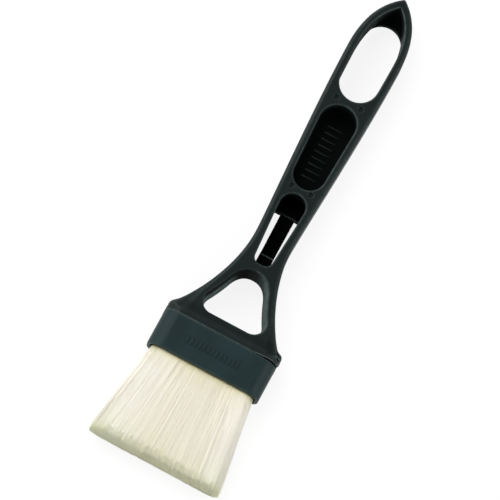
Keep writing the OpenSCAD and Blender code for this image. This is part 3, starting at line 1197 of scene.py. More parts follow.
@dataclass
class Handle:
    """The open handle: yoke, clip window with its plate, panel pocket, hanging loop and tip."""

    outline: HandleOutline = field(default_factory=HandleOutline)
    below_seam: float = 12.0
    mid_z: float = 8.0
    front_z: float = 14.0
    floor_z: float = 4.2
    thickness_profile: tuple[Point, ...] = (
        (2.6, 16.0),
        (7.0, 13.4),
        (14.0, 12.0),
        (136.0, 12.0),
        (165.0, 10.5),
    )
    edge_profile: tuple[Point, ...] = (
        (2.6, 6.5),
        (7.0, 4.6),
        (13.0, 2.3),
        (22.0, 1.5),
        (148.0, 1.5),
        (163.0, 0.7),
    )
    lip_radius: float = 0.55
    back_lip: float = 0.25
    foot_lip: float = 0.3
    fine_lip: float = 0.12
    seam_radius: float = 0.35
    arm_width: float = 4.2
    yoke: Point = (6.6, 31.1)
    yoke_foot_radius: float = 5.3
    yoke_arch_rise: float = 6.5
    yoke_arch_pull: Point = (4.0, 4.2)
    yoke_draft: float = 0.085
    yoke_steps: int = 12
    arch_steps: int = 14
    window: Point = (34.8, 68.3)
    window_rim: float = 3.9
    window_half_low: float = 3.85
    window_radius_low: float = 3.0
    window_floor_radius: float = 0.4
    recess: Triple = (35.3, 2.5, 6.1)
    panel: Point = (71.5, 111.2)
    panel_rims: Point = (2.7, 3.6)
    panel_floor_radius: float = 0.6
    pocket_draft: float = 0.03
    back_draft: float = 0.03
    loop: Point = (114.7, 153.5)
    loop_rim: Point = (3.5, 3.25)
    tip_pocket: Point = (140.0, 161.0)
    tip_floor_radius: float = 0.5
    tip_lip: float = 0.44
    tongue_root: float = 59.7
    tongue_seat: Triple = (3.1, 1.06, 3.4)
    seat_lip: float = 0.1
    slit_over: float = 0.5
    dimple_radius: float = 1.1
    dimple_depth: float = 0.85
    dimples: tuple[Point, ...] = ((5.65, 113.2), (4.4, 70.7))
    tab_notch: Triple = (23.8, 2.5, 2.75)
    lug_plan: tuple[Point, ...] = (
        (23.0, 0.9),
        (24.9, 0.9),
        (25.9, 2.9),
        (25.9, 3.9),
        (25.25, 5.1),
        (23.0, 6.0),
    )
    lug_half: float = 5.4
    lug_round: float = 0.5
    lug_edge: float = 0.9
    lug_slit: tuple[Triple, ...] = ((23.2, 3.3, 13.5), (25.9, 2.1, 12.7))
    lug_slit_radius: float = 0.36
    seam_gap: tuple[float, float, float, float] = (14.0, 22.5, 0.1, 0.75)
    gap_depth: float = 0.9
    foot: tuple[float, float, float, float] = (23.6, 6.1, 4.6, 5.0)
    foot_root: float = 1.0
    skin_step: float = 0.3
    skin_low: Triple = (-26.6, -6.4, -0.9)
    skin_high: Triple = (26.6, 165.4, 17.1)
    # Where the openings get painted shade: by depth, and on walls that face away from the lamps
    shade_z: Point = (13.4, 8.4)
    pocket_shades: Triple = (1.0, 0.8, 0.7)
    yoke_shade: float = 1.0
    loop_shade: float = 0.6
    tip_shade_from: float = 151.5
    wall_reach: Point = (1.3, 1.0)
    left_x: Point = (2.0, -3.0)
    left_shade: float = 0.9
    lit_z: Point = (10.2, 8.2)
    lit_y: Point = (28.0, 24.0)
    foot_light: float = 1.35
    # How pale the rims are left by wear and painted highlight, and the yoke's painted light
    yoke_right_light: float = 1.2
    right_light_x: Point = (1.0, 6.0)
    rim_band: float = 0.9
    rim_paling: Point = (0.55, 0.8)
    yoke_rim_paling: float = 0.275
    dimple_paling: float = 0.3
    dimple_band: float = 0.6

    def thickness(self, y: Array) -> Array:
        """Give the thickness: full at the flange, then thinner, thinnest at the tip."""
        return self.eased(y, self.thickness_profile)

    def rim(self, y: Array) -> Array:
        """Give the width of the loop's rim at each height: wide below, narrower above."""
        return np.interp(y, self.loop, self.loop_rim).astype(np.float32)

    def edge(self, y: Array) -> Array:
        """Give the radius of the long edges at each height."""
        return self.eased(y, self.edge_profile)

    @staticmethod
    def eased(y: Array, profile: Sequence[Point]) -> Array:
        """Read a profile with its corners eased over about a millimetre and a half.

        Args:
            y: Heights to read it at.
            profile: Height and value at each of its corners.

        Returns:
            The value at each height.
        """
        at, value = zip(*profile)
        total = np.zeros(y.shape)
        shifts = (-0.9, -0.45, 0.0, 0.45, 0.9)
        for shift in shifts:
            total += np.interp(y + shift, at, value)
        return (total / len(shifts)).astype(np.float32)

    def yoke_plan(self) -> list[Point]:
        """Draw the yoke opening: sides beside the arms, an arch on top and round feet.

        Returns:
            Its corners as [across, along].
        """
        low, top = self.yoke
        r = self.yoke_foot_radius

        def side(y: float) -> float:
            """Give the opening's half width, which leaves the arm its own."""
            return self.outline.half_width(y) - self.arm_width

        def slope(y: float) -> float:
            """Give how much the handle narrows over a millimetre."""
            return self.outline.half_width(y - 1) - self.outline.half_width(y)

        lean = math.atan(slope(low + 2 * r))
        foot_y = low + r * (1 + math.sin(lean))
        foot_x = side(foot_y) - r * math.cos(lean)
        right: list[Point] = [(0.0, low)]
        for i in range(self.yoke_steps + 1):
            a = -math.pi / 2 + (math.pi / 2 + lean) * i / self.yoke_steps
            right.append((foot_x + r * math.cos(a), low + r * (1 + math.sin(a))))
        arch_y = top - self.yoke_arch_rise
        for i in range(1, self.yoke_steps + 1):
            y = foot_y + (arch_y - foot_y) * i / self.yoke_steps
            right.append((side(y), y))
        x = side(arch_y)
        rise, reach = self.yoke_arch_pull
        arch = [(x, arch_y), (x - rise * slope(arch_y), arch_y + rise), (reach, top), (0.0, top)]
        right += cubic(arch, self.arch_steps)[1:]
        return right + [(-x, y) for x, y in reversed(right[1:-1])]

    def window_distance(self, x: Array, y: Array) -> Array:
        """Signed distance in plan to the clip window.

        Args:
            x: Places across.
            y: Places along.

        Returns:
            The distance at each place.
        """
        low, top = self.window
        r = self.outline.half_width(top) - self.window_rim
        rl, hl = self.window_radius_low, self.window_half_low
        return self.hull_distance(x, y, [(0.0, top - r, r), (hl - rl, low + rl, rl)])

    def panel_distance(self, x: Array, y: Array) -> Array:
        """Signed distance in plan to the panel pocket.

        Args:
            x: Places across.
            y: Places along.

        Returns:
            The distance at each place.
        """
        low, top = self.panel
        low_r = self.outline.half_width(low) - self.panel_rims[0]
        top_r = self.outline.half_width(top) - self.panel_rims[1]
        return self.hull_distance(x, y, [(0.0, top - top_r, top_r), (0.0, low + low_r, low_r)])

    @staticmethod
    def hull_distance(x: Array, y: Array, discs: Sequence[Triple], steps: int = 48) -> Array:
        """Signed distance to the outline drawn tight round discs and their mirror images.

        Args:
            x: Places across.
            y: Places along.
            discs: Across, along and radius of each disc on the right half.
            steps: Number of corners on each disc.

        Returns:
            The distance at each place.
        """
        rim = []
        for cx, cy, r in discs:
            for k in range(steps):
                a = 2 * math.pi * k / steps
                for way in (-1, 1):
                    rim.append((way * (cx + r * math.cos(a)), cy + r * math.sin(a)))
        rim = sorted(set((round(a, 6), round(b, 6)) for a, b in rim))
        hull: list[Point] = []
        for points in (rim, rim[::-1]):
            chain: list[Point] = []
            for p in points:
                while len(chain) > 1 and (
                    (chain[-1][0] - chain[-2][0]) * (p[1] - chain[-2][1])
                    - (chain[-1][1] - chain[-2][1]) * (p[0] - chain[-2][0])
                ) <= 0:
                    chain.pop()
                chain.append(p)
            hull += chain[:-1]
        return polygon_distance(x, y, hull)

    def loop_distance(self, x: Array, y: Array, inner: Array) -> Array:
        """Signed distance in plan to the hanging loop.

        Args:
            x: Places across.
            y: Places along.
            inner: Distance to the outline moved in by the rim's width.

        Returns:
            The distance at each place.
        """
        low, top = self.loop
        rim_low, rim_top = self.loop_rim
        reach = 2 * self.outline.half_widest / 3
        low_c = low + self.outline.half_width(low + reach) - rim_low
        top_c = top - self.outline.half_width(top - reach) + rim_top
        low_r = self.outline.half_width(low_c) - rim_low
        top_r = self.outline.half_width(top_c) - rim_top
        low_end = np.minimum(disc(x, y, (0.0, low_c), low_r), low_c - y)
        top_end = np.minimum(disc(x, y, (0.0, top_c), top_r), y - top_c)
        return np.maximum(np.maximum(inner, low_end), top_end)

    def field_values(self, at: Places) -> Array:
        """Give the handle's distance field.

        Args:
            at: The grid's places.

        Returns:
            The field, negative inside the plastic.
        """
        x, y, z = at
        outer = polygon_distance(x, y, self.outline.corners(self.below_seam)).astype(np.float32)
        depth = np.abs(z - self.mid_z) - self.thickness(y) / 2
        solid = meet(outer, depth, self.edge(y))
        solid = meet(solid, -y, self.seam_radius)
        solid = self.with_lug(solid, at)
        # The seam gapes towards its right end
        start, stop, narrow, wide = self.seam_gap
        gape = np.interp(x, (start, stop), (narrow, wide)).astype(np.float32)
        gap = np.maximum(np.maximum(y - gape, start - x), -solid - self.gap_depth)
        solid = cut(solid, gap, self.fine_lip)
        # Yoke, drafted so that it narrows towards the back
        yoke = polygon_distance(x, y, self.yoke_plan()).astype(np.float32)
        solid = cut(solid, yoke + self.yoke_draft * (self.front_z - z), self.lip_radius)
        solid = self.with_window(solid, at)
        # Panel pocket, hanging loop and the pocket in the tip
        floor = self.floor_z - z
        draft = self.pocket_draft * (self.front_z - z)
        panel = self.panel_distance(x, y).astype(np.float32)
        panel = meet(panel + draft, floor, self.panel_floor_radius)
        solid = cut(solid, panel, self.lip_radius)
        inner = outer + self.rim(y)
        solid = cut(solid, self.loop_distance(x, y, inner), self.lip_radius)
        low, top = self.tip_pocket
        tip = np.maximum(np.maximum(inner, low - y), y - top)
        tip = meet(tip + draft, floor, self.tip_floor_radius)
        solid = cut(solid, tip, self.tip_lip)
        solid = self.with_dimples(solid, at)
        # Notches for the ferrule's snap tabs, and the foot that the ferrule grips
        low_x, high_y, half_z = self.tab_notch
        notch = np.maximum(low_x - np.abs(x), y - high_y)
        notch = np.maximum(notch, np.abs(z - self.mid_z) - half_z)
        solid = cut(solid, notch, self.foot_lip)
        half_x, half_t, radius, length = self.foot
        bar = rounded_box(x, z - self.mid_z, half_x, half_t, radius)
        beyond = np.abs(y + (length - self.foot_root) / 2) - (length + self.foot_root) / 2
        return np.minimum(solid, meet(bar, beyond, self.foot_lip)).astype(np.float32)

    def with_window(self, solid: Array, at: Places) -> Array:
        """Cut the clip window: a pocket over its plate, open through beside the tongue.

        Args:
            solid: The field before.
            at: The grid's places.

        Returns:
            The field with the window, the seat of the tongue's root and the tongue's recess.
        """
        x, y, z = at
        window = self.window_distance(x, y).astype(np.float32)
        pocket = meet(window, self.floor_z - z, self.window_floor_radius)
        solid = cut(solid, pocket, self.lip_radius)
        cored = window - self.back_draft * (self.front_z - z)
        through = np.maximum(cored, y - self.tongue_root - self.slit_over)
        solid = cut(solid, through, self.back_lip)
        height, radius, half = self.tongue_seat
        seat = np.maximum(disc(y, z, (self.tongue_root, height), radius), np.abs(x) - half)
        solid = cut(solid, seat, self.seat_lip)
        middle, half, top = self.recess
        recess = np.maximum(np.abs(x) - self.window_half_low, z - top)
        recess = np.maximum(recess, np.abs(y - middle) - half)
        return cut(solid, recess, self.foot_lip)

    def with_lug(self, solid: Array, at: Places) -> Array:
        """Add the snap lug on the flange's right end, with the slit that lets it give.

        Args:
            solid: The field before.
            at: The grid's places.

        Returns:
            The field with the lug.
        """
        x, y, z = at
        lug = polygon_distance(x, y, self.lug_plan).astype(np.float32) + self.lug_round
        over = np.abs(z - self.mid_z) - self.lug_half + self.lug_round
        solid = join(solid, meet(lug, over, self.lug_edge) - self.lug_round, self.lug_round)
        (ax, ay, az), (bx, by, bz) = self.lug_slit
        ex, ey, ez = bx - ax, by - ay, bz - az
        t = ((x - ax) * ex + (y - ay) * ey + (z - az) * ez) / (ex * ex + ey * ey + ez * ez)
        t = np.clip(t, 0, 1)
        away = np.sqrt((x - ax - t * ex) ** 2 + (y - ay - t * ey) ** 2 + (z - az - t * ez) ** 2)
        return cut(solid, away - self.lug_slit_radius, self.fine_lip)

    def with_dimples(self, solid: Array, at: Places) -> Array:
        """Press the two pairs of round dimples into the front of the bridges.

        Args:
            solid: The field before.
            at: The grid's places.

        Returns:
            The field with the dimples.
        """
        x, y, z = at
        ball = (self.dimple_radius**2 + self.dimple_depth**2) / (2 * self.dimple_depth)
        up = self.front_z + ball - self.dimple_depth
        for across, along in self.dimples:
            away = np.sqrt((np.abs(x) - across) ** 2 + (y - along) ** 2 + (z - up) ** 2)
            solid = cut(solid, away - ball, self.fine_lip)
        return solid

    def mark_openings(self, mesh: Mesh, seam: float) -> None:
        """Store which skin lies in an opening ("cored"), and its painted shade and light there.

        Args:
            mesh: The handle's mesh.
            seam: Place of the seam along the frame, in metres.
        """
        metres = vertex_places(mesh) - np.array([0.0, seam, 0.0], np.float32)
        x, y, z = (metres / MM).T
        inner = polygon_distance(x, y, self.outline.corners(self.below_seam)) + self.rim(y)
        tip = np.maximum(inner, self.tip_shade_from - y)
        window, panel = self.window_distance(x, y), self.panel_distance(x, y)
        yoke, loop = polygon_distance(x, y, self.yoke_plan()), self.loop_distance(x, y, inner)
        down = ramp(z, *self.shade_z)
        below = down > 0
        pockets = zip((window, panel, tip), self.pocket_shades)
        deep = np.maximum.reduce([self.within(away, level) for away, level in pockets])
        inside = np.maximum(
            self.within(yoke, self.yoke_shade), self.within(loop, self.loop_shade)
        )
        # The foot of the yoke's left wall catches light from below, and its top stays dark
        lit = ramp(z, *self.lit_z) * ramp(y, *self.lit_y) * (yoke < loop) * (x < 0)
        left = self.left_shade * (1 - lit) * inside * ramp(x, *self.left_x) * below
        deep = np.maximum(deep * down, left)
        store_values(mesh, "deep", deep)
        store_values(mesh, "cored", np.maximum(deep > 0, inside) * below)
        # Wear and painted highlight are toned down on small rims and dimples, most on left rims
        edge = read_values(mesh, "edge")
        small_rims = np.minimum.reduce([np.abs(window), np.abs(panel), np.abs(loop)]) < self.rim_band
        edge *= np.where(small_rims, np.where(x < 0, *self.rim_paling), 1.0)
        for across, along in self.dimples:
            away = np.hypot(np.abs(x) - across, y - along) - self.dimple_radius
            edge *= np.where(away < self.dimple_band, self.dimple_paling, 1.0)
        left_rim = (np.abs(yoke) < self.rim_band) & (x < 0)
        edge *= np.where(left_rim, self.yoke_rim_paling, 1.0)
        # Painted light: the yoke's right wall and the foot of its left wall are painted pale
        painted_wall_light = np.maximum(self.yoke_right_light * ramp(x, *self.right_light_x), self.foot_light * lit)
        painted_wall_light *= self.within(yoke, self.yoke_shade) * below
        store_values(mesh, "edge", np.maximum(edge, painted_wall_light))

    def within(self, away: Array, level: float) -> Array:
        """Give the level inside an opening and on its walls, and nothing outside it."""
        return level * ramp(away, *self.wall_reach)

    def build(self, seam: float, shades: Sequence[Material]) -> list[Object]:
        """Draw the handle and the ribs on its panel.

        Args:
            seam: Place of the seam along the frame, in metres.
            shades: The handle's finish, from its open faces to its depths.

        Returns:
            The pieces, the handle first.
        """
        skin = Skin(self.skin_low, self.skin_high, self.skin_step)
        handle = skin.draw("handle_moulding", self.field_values(skin.axes()), seam)
        self.mark_openings(handle.data, seam)
        dress_by_depth(handle, shades)
        ribs = RibSet(
            "panel_ribs",
            count=9,
            pitch=3.0,
            size=(7.0, 0.8, 0.4),
            centre=(0.0, (self.panel[0] + self.panel[1]) / 2, self.floor_z),
            run=RibRun.ALONG,
        )
        return [handle, ribs.build(seam, shades[0])]


@dataclass
class ClipTongue:
    """The sprung tongue in the clip window, with a ridge that holds the rim of a tin."""

    root_y: float = 59.7
    end_y: float = 33.9
    head_y: float = 41.4
    z: float = 3.1
    thickness: float = 2.0
    half_root: float = 3.2
    half_neck: float = 3.05
    half_head: float = 3.15
    head_ease: float = 0.6
    set_aside: Point = (0.3, 0.15)
    ridge_height: float = 0.8
    ridge_half: float = 0.6
    crest: float = 0.08
    highlight_z: Point = (0.3, 0.5)
    ridge_highlight: float = 1.6
    edge_radius: float = 0.3
    root_edge: float = 0.2
    root_fillet: float = 0.05
    crest_edge: float = 0.15
    ridge_end: float = 0.25
    ridge_fillet: float = 0.15
    skin_step: float = 0.12
    skin_low: Triple = (-3.6, 32.9, 1.7)
    skin_high: Triple = (3.6, 60.9, 5.4)
    most_triangles: int = 60000

    def field_values(self, at: Places) -> Array:
        """Give the tongue's distance field.

        Args:
            at: The grid's places.

        Returns:
            The field, negative inside the plastic.
        """
        x, y, z = at
        plan = [
            (self.half_head, self.end_y),
            (self.half_head, self.head_y - self.head_ease),
            (self.half_neck, self.head_y + self.head_ease),
            (self.half_root, self.root_y),
        ]
        plan = plan + [(-a, b) for a, b in reversed(plan)]
        # The tongue has crept a little to the right of the window's middle
        x = x - np.interp(y, (self.end_y, self.root_y), self.set_aside).astype(np.float32)
        half = self.thickness / 2
        flat = polygon_distance(x, y, plan).astype(np.float32)
        plate = meet(flat, np.abs(z - self.z) - half, self.edge_radius)
        root = disc(y, z, (self.root_y, self.z), half)
        root = meet(root, np.abs(x) - self.half_root, self.root_edge)
        tongue = join(plate, root, self.root_fillet)
        top = self.z + half
        height, reach = self.ridge_height, self.ridge_half
        lean = np.abs(y - self.head_y) * height + (z - top) * reach - reach * height
        ridge = np.maximum(lean, self.z - z)
        ridge = meet(ridge, z - top - height + self.crest, self.crest_edge)
        ridge = meet(ridge, np.abs(x) - self.half_neck, self.ridge_end)
        return join(tongue, ridge, self.ridge_fillet).astype(np.float32)

    def mark_ridge(self, mesh: Mesh) -> None:
        """Store the tongue as painted shade and cored, but its ridge gets a painted highlight.

        Args:
            mesh: The tongue's mesh.
        """
        up = vertex_places(mesh)[:, 2] / MM - self.z - self.thickness / 2
        # The tongue is painted dark as shade, and the top of its ridge pale as a highlight
        paling = ramp(up, *self.highlight_z)
        store_values(mesh, "edge", paling * self.ridge_highlight)
        for name in ("deep", "cored"):
            store_values(mesh, name, 1 - paling)

    def build(self, seam: float, shades: Sequence[Material]) -> Object:
        """Draw the tongue.

        Args:
            seam: Place of the seam along the frame, in metres.
            shades: The tongue's finish, from its open faces to its depths.

        Returns:
            The tongue.
        """
        most = self.most_triangles
        skin = Skin(self.skin_low, self.skin_high, self.skin_step, most_triangles=most)
        tongue = skin.draw("tongue_moulding", self.field_values(skin.axes()), seam)
        self.mark_ridge(tongue.data)
        dress_by_depth(tongue, shades)
        return tongue


@dataclass
class Ferrule:
    """The moulded collar that snaps on the handle's foot and holds the bristle pack."""

    half_width: float = 25.5
    thickness: float = 16.0
    length: float = 16.0
    wall: float = 1.75
    corner: float = 6.5
    mouth_radius: float = 0.8
    seam_radius: float = 0.3
    tab_reach: float = 0.95
    tab_half: float = 2.5
    tab_height: float = 2.2
    tab_edge: float = 0.35
    tab_fillet: float = 0.2
    dull_band: float = 1.0
    seam_paling: float = 0.35
    mouth_paling: float = 0.45
    skin_step: float = 0.22
    skin_low: Triple = (-26.6, -16.7, -0.7)
    skin_high: Triple = (26.6, 2.9, 16.7)

    def field_values(self, at: Places) -> Array:
        """Give the ferrule's distance field.

        Args:
            at: The grid's places.

        Returns:
            The field, negative inside the plastic.
        """
        x, y, z = at
        half = self.thickness / 2
        w = z - half
        outside = rounded_box(x, w, self.half_width, half, self.corner)
        wall = self.wall
        bore = rounded_box(x, w, self.half_width - wall, half - wall, self.corner - wall)
        mouth = meet(np.maximum(outside, -bore), -self.length - y, self.mouth_radius)
        body = meet(mouth, y, self.seam_radius)
        reach = self.tab_reach
        across = np.abs(np.abs(x) - (self.half_width - reach)) - reach
        tab = np.maximum(across, np.abs(w) - self.tab_half)
        tab = meet(tab, np.abs(y) - self.tab_height, self.tab_edge)
        return join(body, tab, self.tab_fillet).astype(np.float32)

    def dull_ends(self, mesh: Mesh, seam: float) -> None:
        """Dull the pale edge, wear and painted highlight, at both ends: by flange and bristles.

        Args:
            mesh: The ferrule's mesh.
            seam: Place of the seam along the frame, in metres.
        """
        edge = read_values(mesh, "edge")
        along = (vertex_places(mesh)[:, 1] - seam) / MM
        edge *= np.where(along > -self.dull_band, self.seam_paling, 1.0)
        edge *= np.where(along < self.dull_band - self.length, self.mouth_paling, 1.0)
        store_values(mesh, "edge", edge)

    def build(self, seam: float, material: Material) -> list[Object]:
        """Draw the ferrule and the ribs on its front.

        Args:
            seam: Place of the seam along the frame, in metres.
            material: The ferrule's finish.

        Returns:
            The pieces, the ferrule first.
        """
        skin = Skin(self.skin_low, self.skin_high, self.skin_step)
        ferrule = skin.draw("ferrule_moulding", self.field_values(skin.axes()), seam)
        self.dull_ends(ferrule.data, seam)
        dress(ferrule, material)
        ribs = RibSet(
            "ferrule_ribs",
            count=13,
            pitch=1.9,
            size=(0.8, 3.2, 0.4),
            centre=(0.0, -self.length / 2, self.thickness),
            run=RibRun.ACROSS,
        )
        return [ferrule, ribs.build(seam, material)]


# ---- The bristle pack ----


class Bank(Enum):
    """The three banks of the pack, from the back of the brush to its front."""

    BACK = -1
    MIDDLE = 0
    FRONT = 1


@dataclass
class BristleBank:
    """One bank of tapered filaments, rooted in the ferrule and flaring to a trimmed end."""

    bank: Bank
    columns: int = 250
    rows: int = 30
    root_y: float = -9.0
    end_y: float = -58.5
    mouth_y: float = -16.0
    half_root: float = 23.3
    root_corner: float = 4.4
    half_bore_t: float = 6.0
    bank_pitch: float = 4.15
    bank_half: float = 1.9
    half_end: float = 29.45
    half_end_t: float = 7.1
    end_corner: float = 5.0
    mid_z: float = 8.0
    radius: float = 0.075
    ragged: float = 1.6
    wave: float = 1.5
    droop: float = 0.37
    corner_hold: float = 0.8
    droop_rings: Triple = (0.945, 0.975, 1.0)
    low_ring: float = 0.14
    taper: tuple[float, ...] = (1.0, 1.0, 1.0, 0.95, 0.75)
    corner_power: float = 8.0
    flare_power: float = 0.93
    clump: float = 0.07
    clump_power: float = 1.3
    clump_pattern: Point = (17.0, 0.9)
    edge_power: float = 6.0
    face_crowding: float = 0.42
    side_crowding: float = 0.25
    bow: float = 0.05
    lift: float = 0.04
    stray_power: float = 40.0
    stray_reach: float = 1.1
    short_power: float = 2.5
    wave_pattern: float = 9.0
    streak_pattern: float = 22.0
    streak_tint: Point = (1.6, -0.55)
    own_tint: float = 0.5
    tint_power: float = 1.6
    first_seed: int = 20
    seed_step: int = 9

    def strand(self) -> Mesh:
        """Make the strand that is repeated: a tapered tube of three sides along +Y.

        Returns:
            A mesh of unit length and unit radius, with its height stored as "along".
        """
        heights = (0.0, self.low_ring, *self.droop_rings)
        points: list[Triple] = []
        for t, w in zip(heights, self.taper):
            for k in range(3):
                a = math.radians(90 + 120 * k)
                points.append((w * math.cos(a), t, w * math.sin(a)))
        faces: list[tuple[int, ...]] = [(0, 1, 2)]
        for i in range(len(heights) - 1):
            for k in range(3):
                a, b = 3 * i + k, 3 * i + (k + 1) % 3
                faces.append((a, a + 3, b + 3, b))
        last = 3 * (len(heights) - 1)
        faces.append((last + 2, last + 1, last))
        mesh = bpy.data.meshes.new("strand")
        mesh.from_pydata(points, [], faces)
        mesh.update(calc_edges=True)
        mesh.polygons.foreach_set("use_smooth", [True] * len(faces))
        rims = ({0, 1, 2}, {last, last + 1, last + 2})
        sharp = mesh.attributes.new("sharp_edge", "BOOLEAN", "EDGE")
        on_rim = [any(set(edge.vertices) <= rim for rim in rims) for edge in mesh.edges]
        sharp.data.foreach_set("value", on_rim)
        along = mesh.attributes.new("along", "FLOAT", "POINT")
        along.data.foreach_set("value", [p[1] for p in points])
        return mesh

    def place_strands(self, tree: NodeRepeater) -> NodeSocket:
        """Add the part of the tree that gives each strand its seat and its random numbers.

        Args:
            tree: The tree to add to.

        Returns:
            The real geometry of all strands, still in a heap at the origin.
        """
        given = tree.given()
        heap = tree.node("GeometryNodePoints", {"Count": given["Columns"] * given["Rows"]})
        index = tree.wire(tree.node("GeometryNodeInputIndex").outputs[0])
        column = index % given["Columns"]
        row = index.solve("FLOOR", index / given["Columns"])

        def chance(draw: int) -> Wire:
            """Give each strand a random number from 0 to 1.

            Args:
                draw: Which of the strand's numbers this is.

            Returns:
                The number.
            """
            seed = given["Seed"] + float(draw)
            node = tree.node("FunctionNodeRandomValue", {"Seed": seed}, data_type="FLOAT")
            return tree.wire(node.outputs[1])

        def spread(place: Wire, total: Wire, draw: int) -> Wire:
            """Turn a place in a row of seats to -1 to 1, at a random point of its seat."""
            return (place + chance(draw)) / total * 2.0 - 1.0

        def crowd(place: Wire, toward: Wire, amount: Wire) -> Wire:
            """Shift a place towards one side, but not past the ends."""
            return toward * amount * (1.0 - place * place) + place

        across = spread(column, given["Columns"], 1)
        through = spread(row, given["Rows"], 2)
        # Streaks: neighbours across the pack share half of their tint
        streaks = tree.node(
            "ShaderNodeTexNoise",
            {"W": across * self.streak_pattern, "Scale": 1.0, "Detail": 4.0, "Roughness": 0.7},
            noise_dimensions="1D",
        )
        gain, offset = self.streak_tint
        streak = tree.wire(streaks.outputs["Fac"]) * gain + offset
        stored = {
            "u": crowd(across, across, given["Side Crowding"]),
            "v": crowd(through, given["Bank"], given["Face Crowding"]),
            "tint": chance(3) ** self.tint_power * self.own_tint + streak,
            "short": chance(4),
            "bow": chance(5) * 2.0 - 1.0,
            "lift": chance(6) * 2.0 - 1.0,
            "stray": chance(7),
        }
        points = heap.outputs[0]
        for name, value in stored.items():
            points = tree.node(
                "GeometryNodeStoreNamedAttribute",
                {"Geometry": points, "Name": name, "Value": value},
                data_type="FLOAT",
                domain="POINT",
            ).outputs[0]
        placed = tree.node(
            "GeometryNodeInstanceOnPoints", {"Points": points, "Instance": given["Geometry"]}
        )
        return tree.node("GeometryNodeRealizeInstances", {"Geometry": placed.outputs[0]}).outputs[0]

    @staticmethod
    def half_across(z: Wire, half: Wire, half_t: Wire, corner: Wire) -> Wire:
        """Give the half width of a rounded rectangle at one place through its thickness.

        Args:
            z: The place, from its middle.
            half: Half its width.
            half_t: Half its thickness.
            corner: Its corner radius.

        Returns:
            The half width there.
        """
        over = z.solve("MAXIMUM", abs(z) - (half_t - corner), 0.0)
        over = z.solve("MINIMUM", over, corner)
        square = z.solve("MAXIMUM", corner * corner - over * over, 0.0)
        return half - corner + z.solve("SQRT", square)

    def pattern(self, tree: NodeRepeater, x: Wire, y: Wire, detail: float, rough: float) -> Wire:
        """Read a noise over the pack.

        Args:
            tree: The tree to add to.
            x: Place in the noise across the pack.
            y: Place in the noise through it.
            detail: The noise's detail.
            rough: The noise's roughness.

        Returns:
            The noise, from 0 to 1.
        """
        seat = tree.node("ShaderNodeCombineXYZ", {"X": x, "Y": y})
        noise = tree.node(
            "ShaderNodeTexNoise",
            {"Vector": seat.outputs[0], "Scale": 1.0, "Detail": detail, "Roughness": rough},
            noise_dimensions="2D",
        )
        return tree.wire(noise.outputs["Fac"])

    def bend_strands(self, tree: NodeRepeater, strands: NodeSocket) -> NodeSocket:
        """Add the part of the tree that carries every strand from its root to its end.

        Args:
            tree: The tree to add to.
            strands: The geometry of all strands.

        Returns:
            The geometry with each strand in its place, in metres.
        """
        given = tree.given()

        def read(name: str) -> Wire:
            """Read a number that each strand was given."""
            node = tree.node("GeometryNodeInputNamedAttribute", {"Name": name}, data_type="FLOAT")
            return tree.wire(node.outputs["Attribute"])

        u, v, t = read("u"), read("v"), read("along")
        # Clumps: a slow noise over the pack draws neighbours together towards their ends
        columns, rows = self.clump_pattern
        clumps = self.pattern(tree, u * columns, v * rows + given["Seed"], 2.0, 0.5)
        drawn = (clumps * 2.0 - 1.0) * (1.0 - abs(u) ** self.edge_power)
        # Flare: none inside the ferrule, then evenly out to the trimmed end
        free = (t - given["Mouth"]) / (1.0 - given["Mouth"])
        free = free.solve("MAXIMUM", free, 0.0)
        flare = free**self.flare_power
        z_root = v * given["Bank Half"] + given["Bank"] * given["Bank Pitch"]
        z_end = (given["Bank"] * 2.0 + v) / 3.0 * given["Half End T"]
        x_root = u * self.half_across(
            z_root, given["Half Root"], given["Half Bore T"], given["Root Corner"]
        )
        x_end = u * self.half_across(
            z_end, given["Half End"], given["Half End T"], given["End Corner"]
        )
        x_line = flare * (x_end - x_root) + x_root
        z_line = flare * (z_end - z_root) + z_root
        # Droop: the soft ends sink towards what the brush lies on
        past = (t - given["Droop Start"]) / (1.0 - given["Droop Start"])
        past = past.solve("MAXIMUM", past, 0.0)
        hold = abs(u) ** self.corner_power * given["Corner Hold"]
        sunk = 1.0 - past * past * (given["Droop"] * (1.0 - hold))
        z_line = (z_line + given["Half End T"]) * sunk - given["Half End T"]
        # A few strays stand away from the rest near their ends
        pull = drawn * (given["Clump"] * free**self.clump_power)
        arch = free.solve("SINE", free * math.pi)
        astray = read("stray") ** self.stray_power * read("bow") * (free * self.stray_reach)
        x_line = x_line + pull + (arch * (read("bow") * self.bow) + astray)
        z_line = z_line + arch * (read("lift") * self.lift)
        # Ends: trimmed square, then worn a little uneven
        uneven = self.pattern(tree, u * self.wave_pattern, v, 5.0, 0.65) * given["Wave"]
        short = read("short") ** self.short_power * given["Ragged"]
        y = given["Root"] - t * (given["Length"] - (uneven + short))
        # The strand's own thickness round its line
        own = tree.node("GeometryNodeInputPosition").outputs[0]
        shape = tree.node("ShaderNodeSeparateXYZ", {0: own}).outputs
        x = tree.wire(shape["X"]) * given["Radius"] + x_line
        z = tree.wire(shape["Z"]) * given["Radius"] + (z_line + given["Middle"])
        place = tree.node("ShaderNodeCombineXYZ", {"X": x, "Y": y, "Z": z}).outputs[0]
        metres = tree.node("ShaderNodeVectorMath", {0: place, "Scale": MM}, operation="SCALE")
        moved = tree.node(
            "ShaderNodeVectorMath", {0: metres.outputs[0], 1: given["Seam"]}, operation="ADD"
        )
        return tree.node(
            "GeometryNodeSetPosition", {"Geometry": strands, "Position": moved.outputs[0]}
        ).outputs[0]

